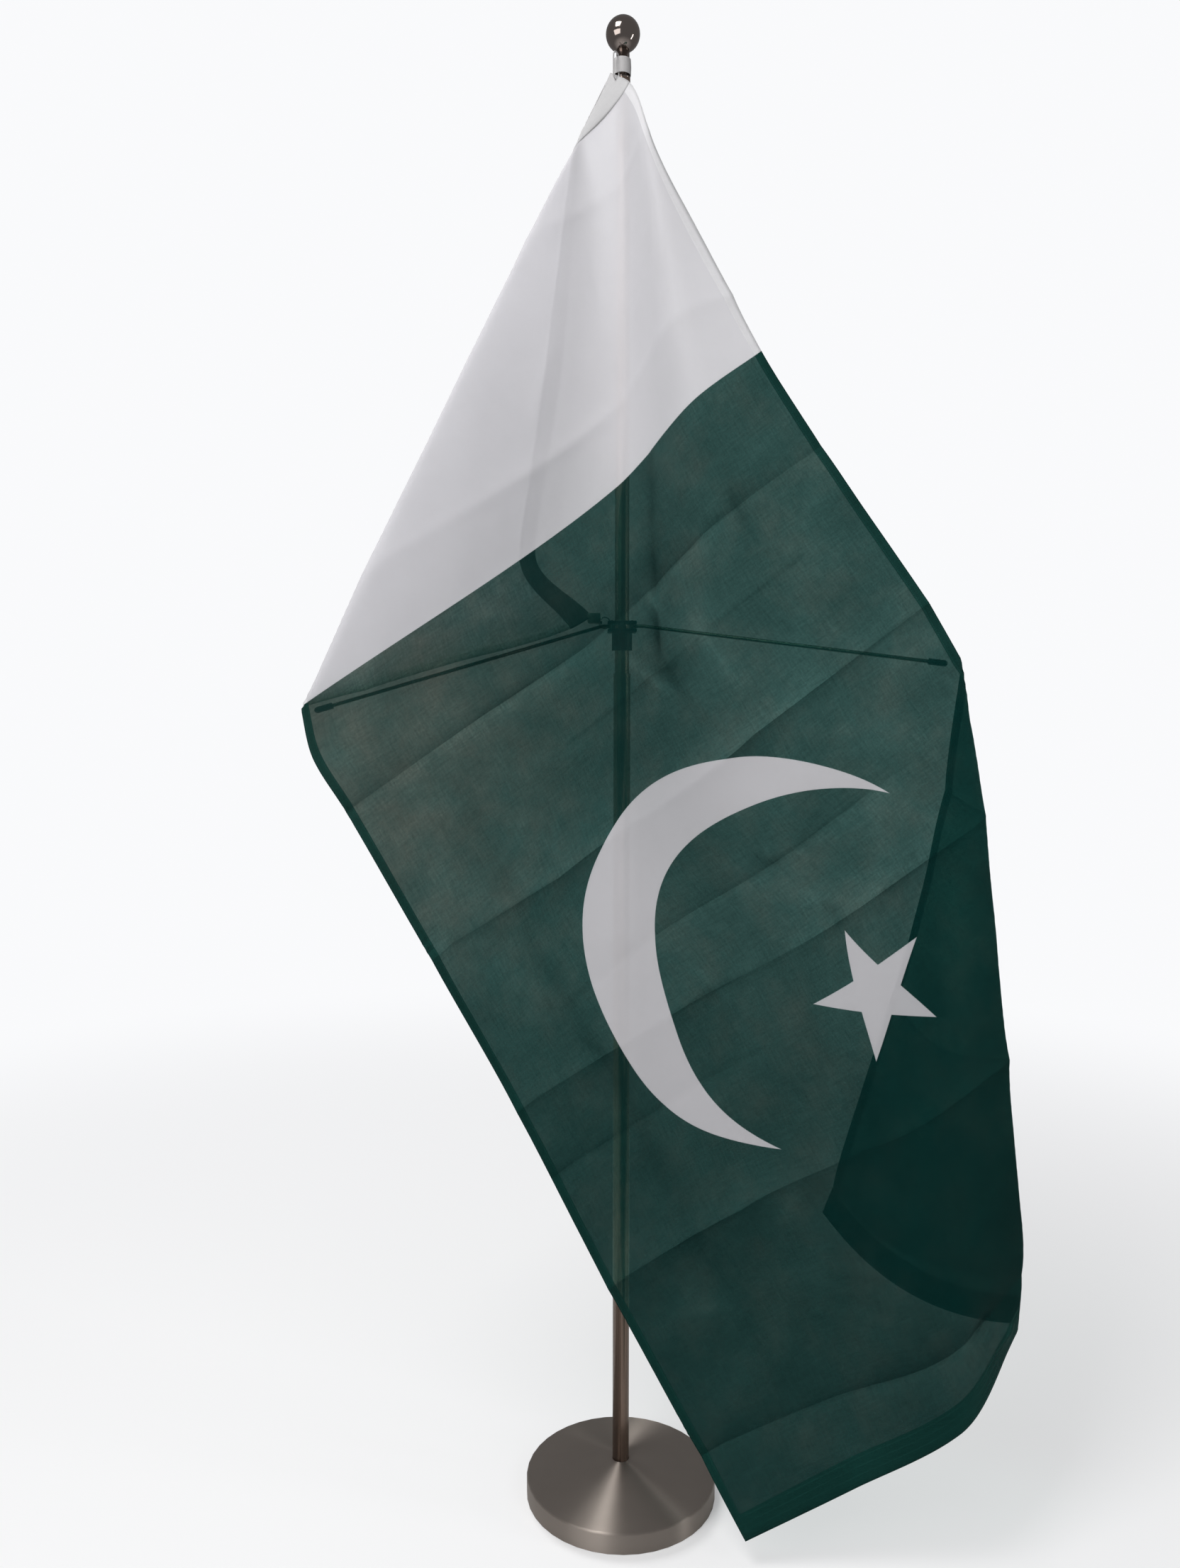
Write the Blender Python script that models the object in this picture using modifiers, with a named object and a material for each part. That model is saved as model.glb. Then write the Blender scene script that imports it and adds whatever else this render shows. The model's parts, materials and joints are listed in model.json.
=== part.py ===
"""National flag hanging on an indoor floor stand.

Metres, +Z up. The origin is the middle of the base's underside, the pole stands on the Z axis,
and the flag's face looks towards -Y. The cloth is modelled as it hangs: tied at the top of the
pole by one corner, spread by two thin arms and folded back behind itself on both sides.
"""
import math
from collections import namedtuple

import bmesh
import bpy
from mathutils import Matrix, Vector

OBJECT_NAME = "national_flag_on_stand"

# flag, cut flat: its length runs from hoist to fly, its width from top edge to bottom edge
FLAG_WIDTH = 0.94
FLAG_LENGTH = 1.88
CLOTH_THICK = 0.0012
HEADING_WIDTH = 0.036
HEADING_THICK = 0.0018
SEAM_GAP = 0.0036

# pole, telescopic: the upper tube slides in the lower one
LOWER_TUBE_R = 0.0130
UPPER_TUBE_R = 0.0110
TUBE_WALL = 0.0014
FOOT_PLUG = 0.008
LOWER_TUBE_TOP = 1.303
UPPER_TUBE_FOOT = 1.100
POLE_TOP = 2.1835

# base
BASE_R = 0.150
BASE_WALL_H = 0.032
BASE_EDGE_R = 0.004
CONE_TOP_H = 0.054
CONE_TOP_R = 0.024
BASE_SHELL = 0.0035

# finial, and the loose band round its neck that the flag's top link hangs from
NECK_R = 0.0099
BALL_R = 0.0255
BALL_Z = 2.249
BAND_OUTER_R = 0.01365
BAND_INNER_R = 0.01245
BAND_HEIGHT = 0.0225
BAND_SLACK = 0.00225
LINK_WIRE_R = 0.0011
LINK_END_R = 0.0070
LINK_STRAIGHT = 0.0264
LINK_HOLE_R = 0.0023
LINK_HOLE_U = 0.0135
LINK_HOLE_V = 0.0060
LINK_TO_POLE = Vector((0.580, 0.815, 0.0))

# hub that carries the two spreader arms
HUB_BODY_R = 0.0155
HUB_BODY_LOW = 1.338
LOWER_PLATE_Z = 1.3653
UPPER_PLATE_Z = 1.3770
PLATE_THICK = 0.0050
PLATE_WIDTH = 0.044
PLATE_DEPTH = 0.046
SCREW_HEAD_R = 0.0050

# plastic clip on the flag's lower hoist corner, and the ring that ties it to the hub
RING_X = -0.0265
RING_Y = -0.0060
RING_R = 0.0085
RING_WIRE_R = 0.0008
RING_HOLE_R = 0.0017
CLIP_CENTRE = Vector((-0.0430, -0.0210, 1.3855))
CLIP_SIZE = (0.020, 0.018, 0.016)
LUG_DEPTH = 0.012
LUG_SIZE = (0.009, LUG_DEPTH, 0.0046)
SLOT_ROOM = 0.0007
SLOT_BACK = 0.0018
SLOT_DEPTH = 0.04

# arms
ARM_R = 0.0027
ARM_LEVEL_RUN = 0.016
EYE_R = 0.0046
PIN_R = 0.0020
PIVOT_X = 0.0150
PIVOT_Y = -0.0165
LEFT_TIP = Vector((-0.4300, -0.1870, 1.2460))
RIGHT_TIP = Vector((0.4440, -0.1880, 1.3110))
CAP_R = 0.0044
CAP_LENGTH = 0.026

FIT = 0.0003
ROUND_STEPS = 40

# Lines that run along the cloth from the hoist (u = 0) to the fly (u = length). Each row gives
# the distance u along the cloth, the distance v down from its top edge, and the place in space.
Row = namedtuple("Row", "u v x y z")

TOP_CORNER = Row(0.000, 0.000, -0.0185, -0.0085, 2.189)
LEFT_TURN = Row(0.470, 0.940, -0.446, -0.200, 1.251)
RIGHT_TURN = Row(1.000, 0.000, 0.460, -0.200, 1.315)

TOP_EDGE = [
    TOP_CORNER,
    Row(0.036, 0.0, 0.0095, -0.0275, 2.166),
    Row(0.147, 0.0, 0.040, -0.092, 2.053),
    Row(0.316, 0.0, 0.117, -0.132, 1.886),
    Row(0.470, 0.0, 0.188, -0.155, 1.743),
    Row(0.686, 0.0, 0.301, -0.170, 1.567),
    Row(0.914, 0.0, 0.419, -0.195, 1.385),
    RIGHT_TURN,
    Row(1.160, 0.0, 0.463, -0.125, 1.169),
    Row(1.310, 0.0, 0.455, -0.075, 1.028),
    Row(1.440, 0.0, 0.435, -0.050, 0.905),
    Row(1.650, 0.0, 0.381, -0.040, 0.707),
    Row(1.880, 0.0, 0.304, -0.065, 0.484),
]
RIGHT_FOLD = [
    RIGHT_TURN,
    Row(1.100, 0.042, 0.488, -0.184, 1.211),
    Row(1.330, 0.140, 0.529, -0.165, 0.960),
    Row(1.530, 0.228, 0.555, -0.155, 0.739),
    Row(1.680, 0.292, 0.577, -0.148, 0.571),
    Row(1.800, 0.343, 0.591, -0.142, 0.440),
    Row(1.880, 0.376, 0.584, -0.140, 0.347),
]
CREST = [
    TOP_CORNER,
    Row(0.036, 0.004, 0.007, -0.0285, 2.161),
    Row(0.150, 0.016, 0.032, -0.098, 2.042),
    Row(0.385, 0.070, 0.080, -0.165, 1.791),
    Row(0.470, 0.120, 0.102, -0.180, 1.678),
    Row(0.700, 0.248, 0.110, -0.190, 1.415),
    Row(0.940, 0.336, 0.165, -0.186, 1.165),
    Row(1.200, 0.340, 0.315, -0.188, 0.955),
    Row(1.470, 0.440, 0.385, -0.195, 0.665),
    Row(1.700, 0.480, 0.445, -0.225, 0.445),
    Row(1.880, 0.550, 0.465, -0.240, 0.240),
]
TROUGH = [
    TOP_CORNER,
    Row(0.036, 0.050, -0.019, -0.0295, 2.125),
    Row(0.120, 0.070, -0.002, -0.036, 2.033),
    Row(0.385, 0.265, -0.004, -0.034, 1.695),
    Row(0.470, 0.325, -0.008, -0.034, 1.580),
    Row(0.700, 0.453, -0.006, -0.044, 1.318),
    Row(0.940, 0.586, -0.012, -0.060, 1.044),
    Row(1.200, 0.660, 0.085, -0.098, 0.775),
    Row(1.470, 0.690, 0.175, -0.125, 0.535),
    Row(1.700, 0.720, 0.270, -0.152, 0.315),
    Row(1.880, 0.740, 0.325, -0.215, 0.145),
]
LEFT_FOLD = [
    Row(0.000, 0.118, -0.0655, -0.034, 2.084),
    Row(0.036, 0.140, -0.074, -0.043, 2.066),
    Row(0.060, 0.170, -0.090, -0.051, 2.036),
    Row(0.138, 0.288, -0.151, -0.070, 1.911),
    Row(0.244, 0.491, -0.248, -0.110, 1.700),
    Row(0.373, 0.746, -0.365, -0.160, 1.444),
    LEFT_TURN,
]
FLAP_HIGH = [
    Row(0.000, 0.420, -0.093, 0.105, 1.790),
    Row(0.235, 0.620, -0.278, -0.030, 1.585),
    LEFT_TURN,
]
FLAP_LOW = [
    Row(0.000, 0.740, -0.137, 0.110, 1.500),
    Row(0.235, 0.800, -0.290, -0.030, 1.425),
    LEFT_TURN,
]
BOTTOM_EDGE = [
    Row(0.000, 0.940, -0.046, -0.026, 1.388),
    Row(0.036, 0.940, -0.078, -0.038, 1.369),
    Row(0.240, 0.940, -0.250, -0.108, 1.314),
    LEFT_TURN,
    Row(0.540, 0.940, -0.433, -0.205, 1.191),
    Row(0.640, 0.940, -0.383, -0.200, 1.103),
    Row(0.880, 0.940, -0.276, -0.165, 0.895),
    Row(1.150, 0.940, -0.159, -0.120, 0.663),
    Row(1.470, 0.940, -0.022, -0.104, 0.385),
    Row(1.700, 0.940, 0.089, -0.140, 0.191),
    Row(1.880, 0.940, 0.176, -0.185, 0.046),
]

SECTIONS = 42
HEADING_SECTIONS = 4
FOLD_EASE = 0.012
FLAP_BELLY = Vector((0.0, 0.60, -0.80))


def clear_scene():
    for thing in list(bpy.data.objects):
        bpy.data.objects.remove(thing, do_unlink=True)


def make_collection(name):
    made = bpy.data.collections.new(name)
    bpy.context.scene.collection.children.link(made)
    return made


def make_material(name, colour, roughness, metallic=0.0):
    made = bpy.data.materials.new(name)
    made.use_nodes = True
    shader = made.node_tree.nodes["Principled BSDF"]
    shader.inputs["Base Color"].default_value = (*colour, 1.0)
    shader.inputs["Roughness"].default_value = roughness
    shader.inputs["Metallic"].default_value = metallic
    return made


def add_object(name, data, collection, material=None):
    made = bpy.data.objects.new(name, data)
    collection.objects.link(made)
    if material is not None:
        data.materials.append(material)
    return made


def smooth(mesh):
    mesh.shade_smooth()
    mesh.set_sharp_from_angle(angle=math.radians(35))


# Cloth

def through(rows, where, key):
    """A smooth curve through the rows at the given place, which overshoots no row."""
    knots = [key(row) for row in rows]
    spans = [max(b - a, 1e-6) for a, b in zip(knots, knots[1:])]
    slopes = [[(q - p) / span for p, q in zip(a, b)] for a, b, span in zip(rows, rows[1:], spans)]
    i = sum(1 for knot in knots[1:-1] if knot <= where)

    def tangent(j):
        if j in (0, len(slopes)):
            return slopes[min(j, len(slopes) - 1)]
        near, far = 2 * spans[j] + spans[j - 1], spans[j] + 2 * spans[j - 1]
        return [
            (near + far) / (near / a + far / b) if a * b > 0 else 0.0
            for a, b in zip(slopes[j - 1], slopes[j])
        ]

    t = min(max((where - knots[i]) / spans[i], 0.0), 1.0)
    start, end = 2 * t**3 - 3 * t**2 + 1, 3 * t**2 - 2 * t**3
    leave, arrive = (t**3 - 2 * t**2 + t) * spans[i], (t**3 - t**2) * spans[i]
    return Row(*(
        start * a + end * b + leave * m + arrive * n
        for a, b, m, n in zip(rows[i], rows[i + 1], tangent(i), tangent(i + 1))
    ))


def along(rows, u, corner=None):
    """A line's row at u. A line that turns a corner is followed on one side of it only."""
    if corner is not None:
        rows = [r for r in rows if (r.u <= corner.u if u <= corner.u else r.u >= corner.u)]
    return through(rows, u, lambda row: row.u)


def section(u):
    """The rows across the cloth at u: its right flap, its front and its left flap."""
    top = along(TOP_EDGE, u, RIGHT_TURN)
    bottom = along(BOTTOM_EDGE, u, LEFT_TURN)
    right = along(RIGHT_FOLD, u) if u > RIGHT_TURN.u else top
    left, high, low = bottom, bottom, bottom
    if u < LEFT_TURN.u:
        left, high, low = (along(line, u) for line in (LEFT_FOLD, FLAP_HIGH, FLAP_LOW))
    front = [right, along(CREST, u), along(TROUGH, u), left]
    return [top, right], front, [left, high, low, bottom]


def place(row):
    return Vector((row.x, row.y, row.z))


def on_right_flap(rows, v):
    """Straight across the flap, with the belly that its spare length makes behind the flag."""
    top, fold = place(rows[0]), place(rows[1])
    length = max(rows[1].v - rows[0].v, 1e-6)
    chord = (fold - top).length
    share = (v - rows[0].v) / length
    belly = math.sqrt(max(length - chord, 0.0) * chord * 3 / 8)
    return top.lerp(fold, share) + FLAP_BELLY * belly * 4 * share * (1 - share)


def on_cloth(u, v):
    """The place of the flag's point (u, v), with its two folds rounded off."""
    right_flap, front, left_flap = section(u)
    right_v, left_v = front[0].v, front[-1].v

    def plain(at):
        if at < right_v:
            return on_right_flap(right_flap, at)
        rows = front if at <= left_v else left_flap
        return place(through(rows, at, lambda row: row.v))

    for fold_v, room in ((right_v, right_v), (left_v, FLAG_WIDTH - left_v)):
        ease = min(FOLD_EASE, room / 2, (left_v - right_v) / 2)
        if ease > 1e-5 and abs(v - fold_v) < ease:
            t = (v - fold_v + ease) / (2 * ease)
            a, b, c = plain(fold_v - ease), plain(fold_v), plain(fold_v + ease)
            return a * (1 - t) ** 2 + b * 2 * t * (1 - t) + c * t**2
    return plain(v)


def columns(u):
    """The distances v of the mesh's columns at u, which follow the two folds."""
    right_flap, front, left_flap = section(u)
    right, crest, trough, left = (row.v for row in front)
    spans = [
        (0.0, right, 4, False, True),
        (right, crest, 5, True, False),
        (crest, trough, 5, False, False),
        (trough, left, 6, False, True),
        (left, FLAG_WIDTH, 6, True, False),
    ]
    made = [0.0]
    for start, end, count, fold_before, fold_after in spans:
        ease = min(FOLD_EASE, (end - start) / 3)
        low = start + (ease if fold_before else 0.0)
        high = end - (ease if fold_after else 0.0)
        if fold_before:
            made += [start + ease / 2, low]
        steps = count - (fold_before + fold_after)
        made += [low + (high - low) * i / steps for i in range(1, steps + 1)]
        if fold_after:
            made += [end - ease / 2, end]
    return made


def cloth_sheet(name, u_start, u_end, sections, thickness, collection, material=None):
    """A closed thin sheet over part of the flag, from one u to another."""
    mesh = bpy.data.meshes.new(name)
    sheet = bmesh.new()
    rows = []
    for i in range(sections + 1):
        u = u_start + (u_end - u_start) * i / sections
        rows.append([sheet.verts.new(on_cloth(u, v)) for v in columns(u)])
    for near, far in zip(rows, rows[1:]):
        for j in range(len(near) - 1):
            sheet.faces.new((near[j], near[j + 1], far[j + 1], far[j]))
    bmesh.ops.remove_doubles(sheet, verts=sheet.verts, dist=0.00005)
    bmesh.ops.triangulate(sheet, faces=sheet.faces)
    bmesh.ops.recalc_face_normals(sheet, faces=sheet.faces)
    sheet.to_mesh(mesh)
    sheet.free()
    smooth(mesh)
    made = add_object(name, mesh, collection, material)
    shell = made.modifiers.new("thickness", "SOLIDIFY")
    shell.thickness = thickness
    shell.offset = 0.0
    return made


# Turned pieces, tubes and plates

def turned(name, profile, collection, material, centre=(0.0, 0.0)):
    """A solid of revolution from (radius, height) points that run down its outer side."""
    mesh = bpy.data.meshes.new(name)
    points = [(radius, 0.0, height) for radius, height in profile]
    closed = profile[0][0] > 0 and profile[-1][0] > 0
    edges = [(i, i + 1) for i in range(len(points) - 1) if profile[i][0] + profile[i + 1][0] > 0]
    if closed:
        edges.append((len(points) - 1, 0))
    mesh.from_pydata(points, edges, [])
    made = add_object(name, mesh, collection, material)
    made.location = (*centre, 0.0)
    screw = made.modifiers.new("turn", "SCREW")
    screw.axis = "Z"
    screw.steps = screw.render_steps = ROUND_STEPS
    screw.use_merge_vertices = True
    screw.merge_threshold = 0.00005
    screw.use_smooth_shade = True
    return made


def arc(centre_r, centre_z, radius, start, end, steps):
    """Points of a circle's arc in a turned profile, from one angle to another in degrees."""
    made = []
    for i in range(steps + 1):
        angle = math.radians(start + (end - start) * i / steps)
        made.append((centre_r + radius * math.cos(angle), centre_z + radius * math.sin(angle)))
    return made


def wire(name, points, radius, collection, material, cyclic=False, resolution=2):
    """A round rod or wire through the points."""
    curve = bpy.data.curves.new(name, "CURVE")
    curve.dimensions = "3D"
    curve.bevel_depth = radius
    curve.bevel_resolution = resolution
    curve.use_fill_caps = not cyclic
    line = curve.splines.new("POLY")
    line.points.add(len(points) - 1)
    for knot, point in zip(line.points, points):
        knot.co = (*point, 1.0)
    line.use_cyclic_u = cyclic
    return add_object(name, curve, collection, material)


def as_mesh(piece, collection):
    """The piece as a closed mesh object, with its curve's caps welded on."""
    graph = bpy.context.evaluated_depsgraph_get()
    mesh = bpy.data.meshes.new_from_object(piece.evaluated_get(graph))
    welded = bmesh.new()
    welded.from_mesh(mesh)
    bmesh.ops.remove_doubles(welded, verts=welded.verts, dist=0.00002)
    bmesh.ops.recalc_face_normals(welded, faces=welded.faces)
    welded.to_mesh(mesh)
    welded.free()
    name, where = piece.name, piece.matrix_world.copy()
    old = piece.data
    bpy.data.objects.remove(piece, do_unlink=True)
    bpy.data.curves.remove(old)
    made = bpy.data.objects.new(name, mesh)
    made.matrix_world = where
    collection.objects.link(made)
    return made


def cylinder(name, start, end, radius, collection, material=None, sides=24):
    """A solid cylinder between two points."""
    start, end = Vector(start), Vector(end)
    mesh = bpy.data.meshes.new(name)
    solid = bmesh.new()
    bmesh.ops.create_cone(
        solid, cap_ends=True, segments=sides, radius1=radius, radius2=radius,
        depth=(end - start).length,
    )
    solid.to_mesh(mesh)
    solid.free()
    smooth(mesh)
    made = add_object(name, mesh, collection, material)
    made.location = (start + end) / 2
    made.rotation_mode = "QUATERNION"
    made.rotation_quaternion = (end - start).to_track_quat("Z", "Y")
    return made


def block(name, centre, size, bevel, collection, material=None):
    """A box with rounded edges."""
    mesh = bpy.data.meshes.new(name)
    solid = bmesh.new()
    bmesh.ops.create_cube(solid, size=1.0)
    bmesh.ops.scale(solid, vec=size, verts=solid.verts)
    solid.to_mesh(mesh)
    solid.free()
    made = add_object(name, mesh, collection, material)
    made.location = centre
    if bevel:
        rounding = made.modifiers.new("edges", "BEVEL")
        rounding.width = bevel
        rounding.segments = 2
    return made


def combine(piece, tool, operation):
    """Cuts the tool from the piece or joins it on."""
    step = piece.modifiers.new(tool.name, "BOOLEAN")
    step.operation = operation
    step.solver = "EXACT"
    step.object = tool


def make_tool(tool):
    tool.hide_render = True
    tool.display_type = "WIRE"
    return tool


# The stand

def make_base(parts, steel):
    wall_top = BASE_WALL_H - BASE_EDGE_R
    outer = [(CONE_TOP_R, CONE_TOP_H)]
    outer += arc(BASE_R - BASE_EDGE_R, wall_top, BASE_EDGE_R, 80, 0, 4)
    outer += [(BASE_R, 0.0), (BASE_R - BASE_SHELL, 0.0)]
    under = [(BASE_R - BASE_SHELL, wall_top - BASE_SHELL), (CONE_TOP_R, CONE_TOP_H - BASE_SHELL)]
    foot = [(CONE_TOP_R, 0.0), (LOWER_TUBE_R + FIT, 0.0), (LOWER_TUBE_R + FIT, CONE_TOP_H)]
    return turned("base_plate", outer + under + foot, parts, steel)


def tube(name, radius, low, high, parts, steel, plug=0.0):
    """A tube, with a plug of the given height closing its foot."""
    inner = radius - TUBE_WALL
    foot = [(inner, low)]
    if plug:
        foot = [(0.0, low), (0.0, low + plug), (inner, low + plug)]
    return turned(name, [(radius, high), (radius, low)] + foot + [(inner, high)], parts, steel)


def make_finial(parts, chrome):
    neck_top = BALL_Z - math.sqrt(BALL_R**2 - NECK_R**2)
    neck = [(0.0, neck_top - FIT), (NECK_R - 0.0004, neck_top - FIT), (NECK_R, neck_top - 0.001)]
    neck += [(NECK_R, POLE_TOP + FIT + 0.0035), (UPPER_TUBE_R, POLE_TOP + FIT + 0.003)]
    neck += [(UPPER_TUBE_R, POLE_TOP + FIT), (UPPER_TUBE_R - TUBE_WALL - FIT, POLE_TOP + FIT)]
    neck += [(UPPER_TUBE_R - TUBE_WALL - FIT, POLE_TOP - 0.012), (0.0, POLE_TOP - 0.012)]
    turned("finial_neck", neck, parts, chrome)
    low_angle = -math.degrees(math.acos(NECK_R / BALL_R))
    ball = [(0.0, BALL_Z + BALL_R)] + arc(0.0, BALL_Z, BALL_R, 84, low_angle, 20)
    ball += [(0.0, neck_top)]
    turned("finial_ball", ball, parts, chrome)


def make_hub(parts, tools, paint):
    bore = UPPER_TUBE_R + FIT
    body_top = LOWER_PLATE_Z - FIT
    body = [(bore, body_top), (HUB_BODY_R, body_top), (HUB_BODY_R, HUB_BODY_LOW)]
    body += [(bore, HUB_BODY_LOW)]
    turned("hub_body", body, parts, paint)
    pivots = [Vector((side * PIVOT_X, PIVOT_Y, 0.0)) for side in (-1, 1)]
    for name, low in (("hub_plate_lower", LOWER_PLATE_Z), ("hub_plate_upper", UPPER_PLATE_Z)):
        middle = low + PLATE_THICK / 2
        plate = block(name, (0.0, 0.0, middle), (PLATE_WIDTH, PLATE_DEPTH, PLATE_THICK), 0.001,
                      parts, paint)
        holes = [(Vector((0.0, 0.0, 0.0)), bore)] + [(p, PIN_R + FIT) for p in pivots]
        if name == "hub_plate_upper":
            holes.append((Vector((RING_X + RING_R, RING_Y, 0.0)), RING_HOLE_R))
        for k, (centre, radius) in enumerate(holes):
            tool = cylinder(f"{name}_hole_{k}", centre + Vector((0, 0, low - 0.01)),
                            centre + Vector((0, 0, low + PLATE_THICK + 0.01)), radius, tools)
            combine(plate, make_tool(tool), "DIFFERENCE")
    return pivots


def make_hub_screw(parts, steel):
    """The clamping screw in front of the plates, its shank between them."""
    height = (LOWER_PLATE_Z + PLATE_THICK + UPPER_PLATE_Z) / 2
    face = -PLATE_DEPTH / 2 - FIT
    head = cylinder("hub_screw", (0, face - 0.003, height), (0, face, height), SCREW_HEAD_R,
                    parts, steel)
    shank = cylinder("hub_screw_shank", (0, face - 0.001, height),
                     (0, -UPPER_TUBE_R - FIT, height), 0.0025, parts)
    return head, shank


def make_arm(name, pivot, tip, parts, tools, paint, steel):
    """A thin rod with an eye at the hub and a rounded cap on its tip, and the pin in its eye."""
    low, high = LOWER_PLATE_Z + PLATE_THICK + FIT, UPPER_PLATE_Z - FIT
    start = Vector((pivot.x, pivot.y, (low + high) / 2))
    level = Vector((tip.x - start.x, tip.y - start.y, 0.0)).normalized()
    bend = start + level * ARM_LEVEL_RUN
    run = (tip - bend).normalized()
    cap_foot = tip - run * CAP_LENGTH
    route = [start + level * 0.0025, bend - level * 0.003, bend + run * 0.003, cap_foot - run * FIT]
    rod = as_mesh(wire(name, route, ARM_R, parts, steel), parts)
    rod.data.materials.clear()
    rod.data.materials.append(steel)
    eye = cylinder(f"{name}_eye", (start.x, start.y, low), (start.x, start.y, high), EYE_R, tools)
    combine(rod, make_tool(eye), "UNION")
    hole = cylinder(f"{name}_pin_hole", (start.x, start.y, low - 0.01),
                    (start.x, start.y, high + 0.01), PIN_R + FIT, tools)
    combine(rod, make_tool(hole), "DIFFERENCE")
    side = name.removeprefix("arm_")
    pin_low, pin_high = LOWER_PLATE_Z, UPPER_PLATE_Z + PLATE_THICK + 0.001
    cylinder(f"arm_pin_{side}", (start.x, start.y, pin_low), (start.x, start.y, pin_high), PIN_R,
             parts, steel, sides=16)
    make_cap(f"arm_cap_{side}", cap_foot, run, parts, paint)


def make_cap(name, foot, run, parts, paint):
    """The cap on an arm's tip: a short sleeve with a domed end."""
    mesh = bpy.data.meshes.new(name)
    profile = [(0.0, CAP_LENGTH)] + arc(0.0, CAP_LENGTH - CAP_R, CAP_R, 72, 0, 4)
    profile += [(CAP_R, 0.0), (0.0, 0.0)]
    mesh.from_pydata([(r, 0.0, h) for r, h in profile],
                     [(i, i + 1) for i in range(len(profile) - 1)], [])
    cap = add_object(name, mesh, parts, paint)
    cap.location = foot
    cap.rotation_mode = "QUATERNION"
    cap.rotation_quaternion = run.to_track_quat("Z", "Y")
    screw = cap.modifiers.new("turn", "SCREW")
    screw.steps = screw.render_steps = 20
    screw.use_merge_vertices = True
    screw.merge_threshold = 0.00005


def link_path(hole_at):
    """The long link that the flag hangs from: two straight sides joined by half circles."""
    towards_pole = LINK_TO_POLE.normalized()
    up = Vector((0.0, 0.0, 1.0))
    low = hole_at + up * LINK_END_R
    points = []
    for centre, first in ((low, 180), (low + up * LINK_STRAIGHT, 0)):
        for i in range(11):
            angle = math.radians(first + 18 * i)
            points.append(centre + towards_pole * LINK_END_R * math.cos(angle)
                          + up * LINK_END_R * math.sin(angle))
    return points


def make_top_fittings(parts, hole_at, webbing, chrome):
    """The loose band round the neck, and the long link between it and the flag's corner."""
    slack = -LINK_TO_POLE.normalized() * BAND_SLACK
    low = POLE_TOP + FIT + 0.0045
    high = low + BAND_HEIGHT
    swell = 0.0006
    middle = (low + high) / 2
    band = [(BAND_OUTER_R - swell, high), (BAND_OUTER_R, middle), (BAND_OUTER_R - swell, low)]
    band += [(BAND_INNER_R, low), (BAND_INNER_R, high)]
    turned("top_band", band, parts, webbing, centre=(slack.x, slack.y))
    link = as_mesh(wire("top_link", link_path(hole_at), LINK_WIRE_R, parts, chrome, cyclic=True),
                   parts)
    link.data.materials.append(chrome)


def make_clip(parts, tools, plastic, chrome):
    """The clip that grips the flag's lower hoist corner, with a lug for the ring to the hub."""
    ring_z = UPPER_PLATE_Z + PLATE_THICK / 2
    clip = block("hub_clip", CLIP_CENTRE, CLIP_SIZE, 0.003, parts, plastic)
    lug_y = CLIP_CENTRE.y + (CLIP_SIZE[1] + LUG_DEPTH) / 2 - 0.003
    lug = block("hub_clip_lug", (RING_X - RING_R, lug_y, ring_z), LUG_SIZE, 0.0008, tools)
    combine(clip, make_tool(lug), "UNION")
    eye = Vector((RING_X - RING_R, RING_Y, ring_z))
    reach = Vector((0.0, 0.0, 0.01))
    hole = cylinder("hub_clip_hole", eye - reach, eye + reach, RING_HOLE_R, tools)
    combine(clip, make_tool(hole), "DIFFERENCE")

    corner = on_cloth(0.0, FLAG_WIDTH)
    inwards = (on_cloth(HEADING_WIDTH / 2, FLAG_WIDTH) - corner).normalized()
    upwards = on_cloth(0.0, FLAG_WIDTH - 0.02) - corner
    facing = inwards.cross(upwards).normalized()
    upwards = facing.cross(inwards)
    slot_thick = HEADING_THICK + 2 * SLOT_ROOM
    slot = block("hub_clip_slot", corner + (inwards + upwards) * (SLOT_DEPTH / 2 - SLOT_BACK),
                 (SLOT_DEPTH, SLOT_DEPTH, slot_thick), 0.0, tools)
    slot.rotation_euler = Matrix((inwards, upwards, facing)).transposed().to_euler()
    combine(clip, make_tool(slot), "DIFFERENCE")
    bend = cloth_sheet("hub_clip_bend", 0.0, HEADING_WIDTH, HEADING_SECTIONS, slot_thick, tools)
    combine(clip, make_tool(bend), "DIFFERENCE")

    steps = 28
    circle = []
    for i in range(steps):
        angle = 2 * math.pi * i / steps
        circle.append((RING_X + RING_R * math.cos(angle), RING_Y,
                       ring_z + RING_R * math.sin(angle)))
    ring = as_mesh(wire("hub_ring", circle, RING_WIRE_R, parts, chrome, cyclic=True), parts)
    ring.data.materials.append(chrome)


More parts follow.
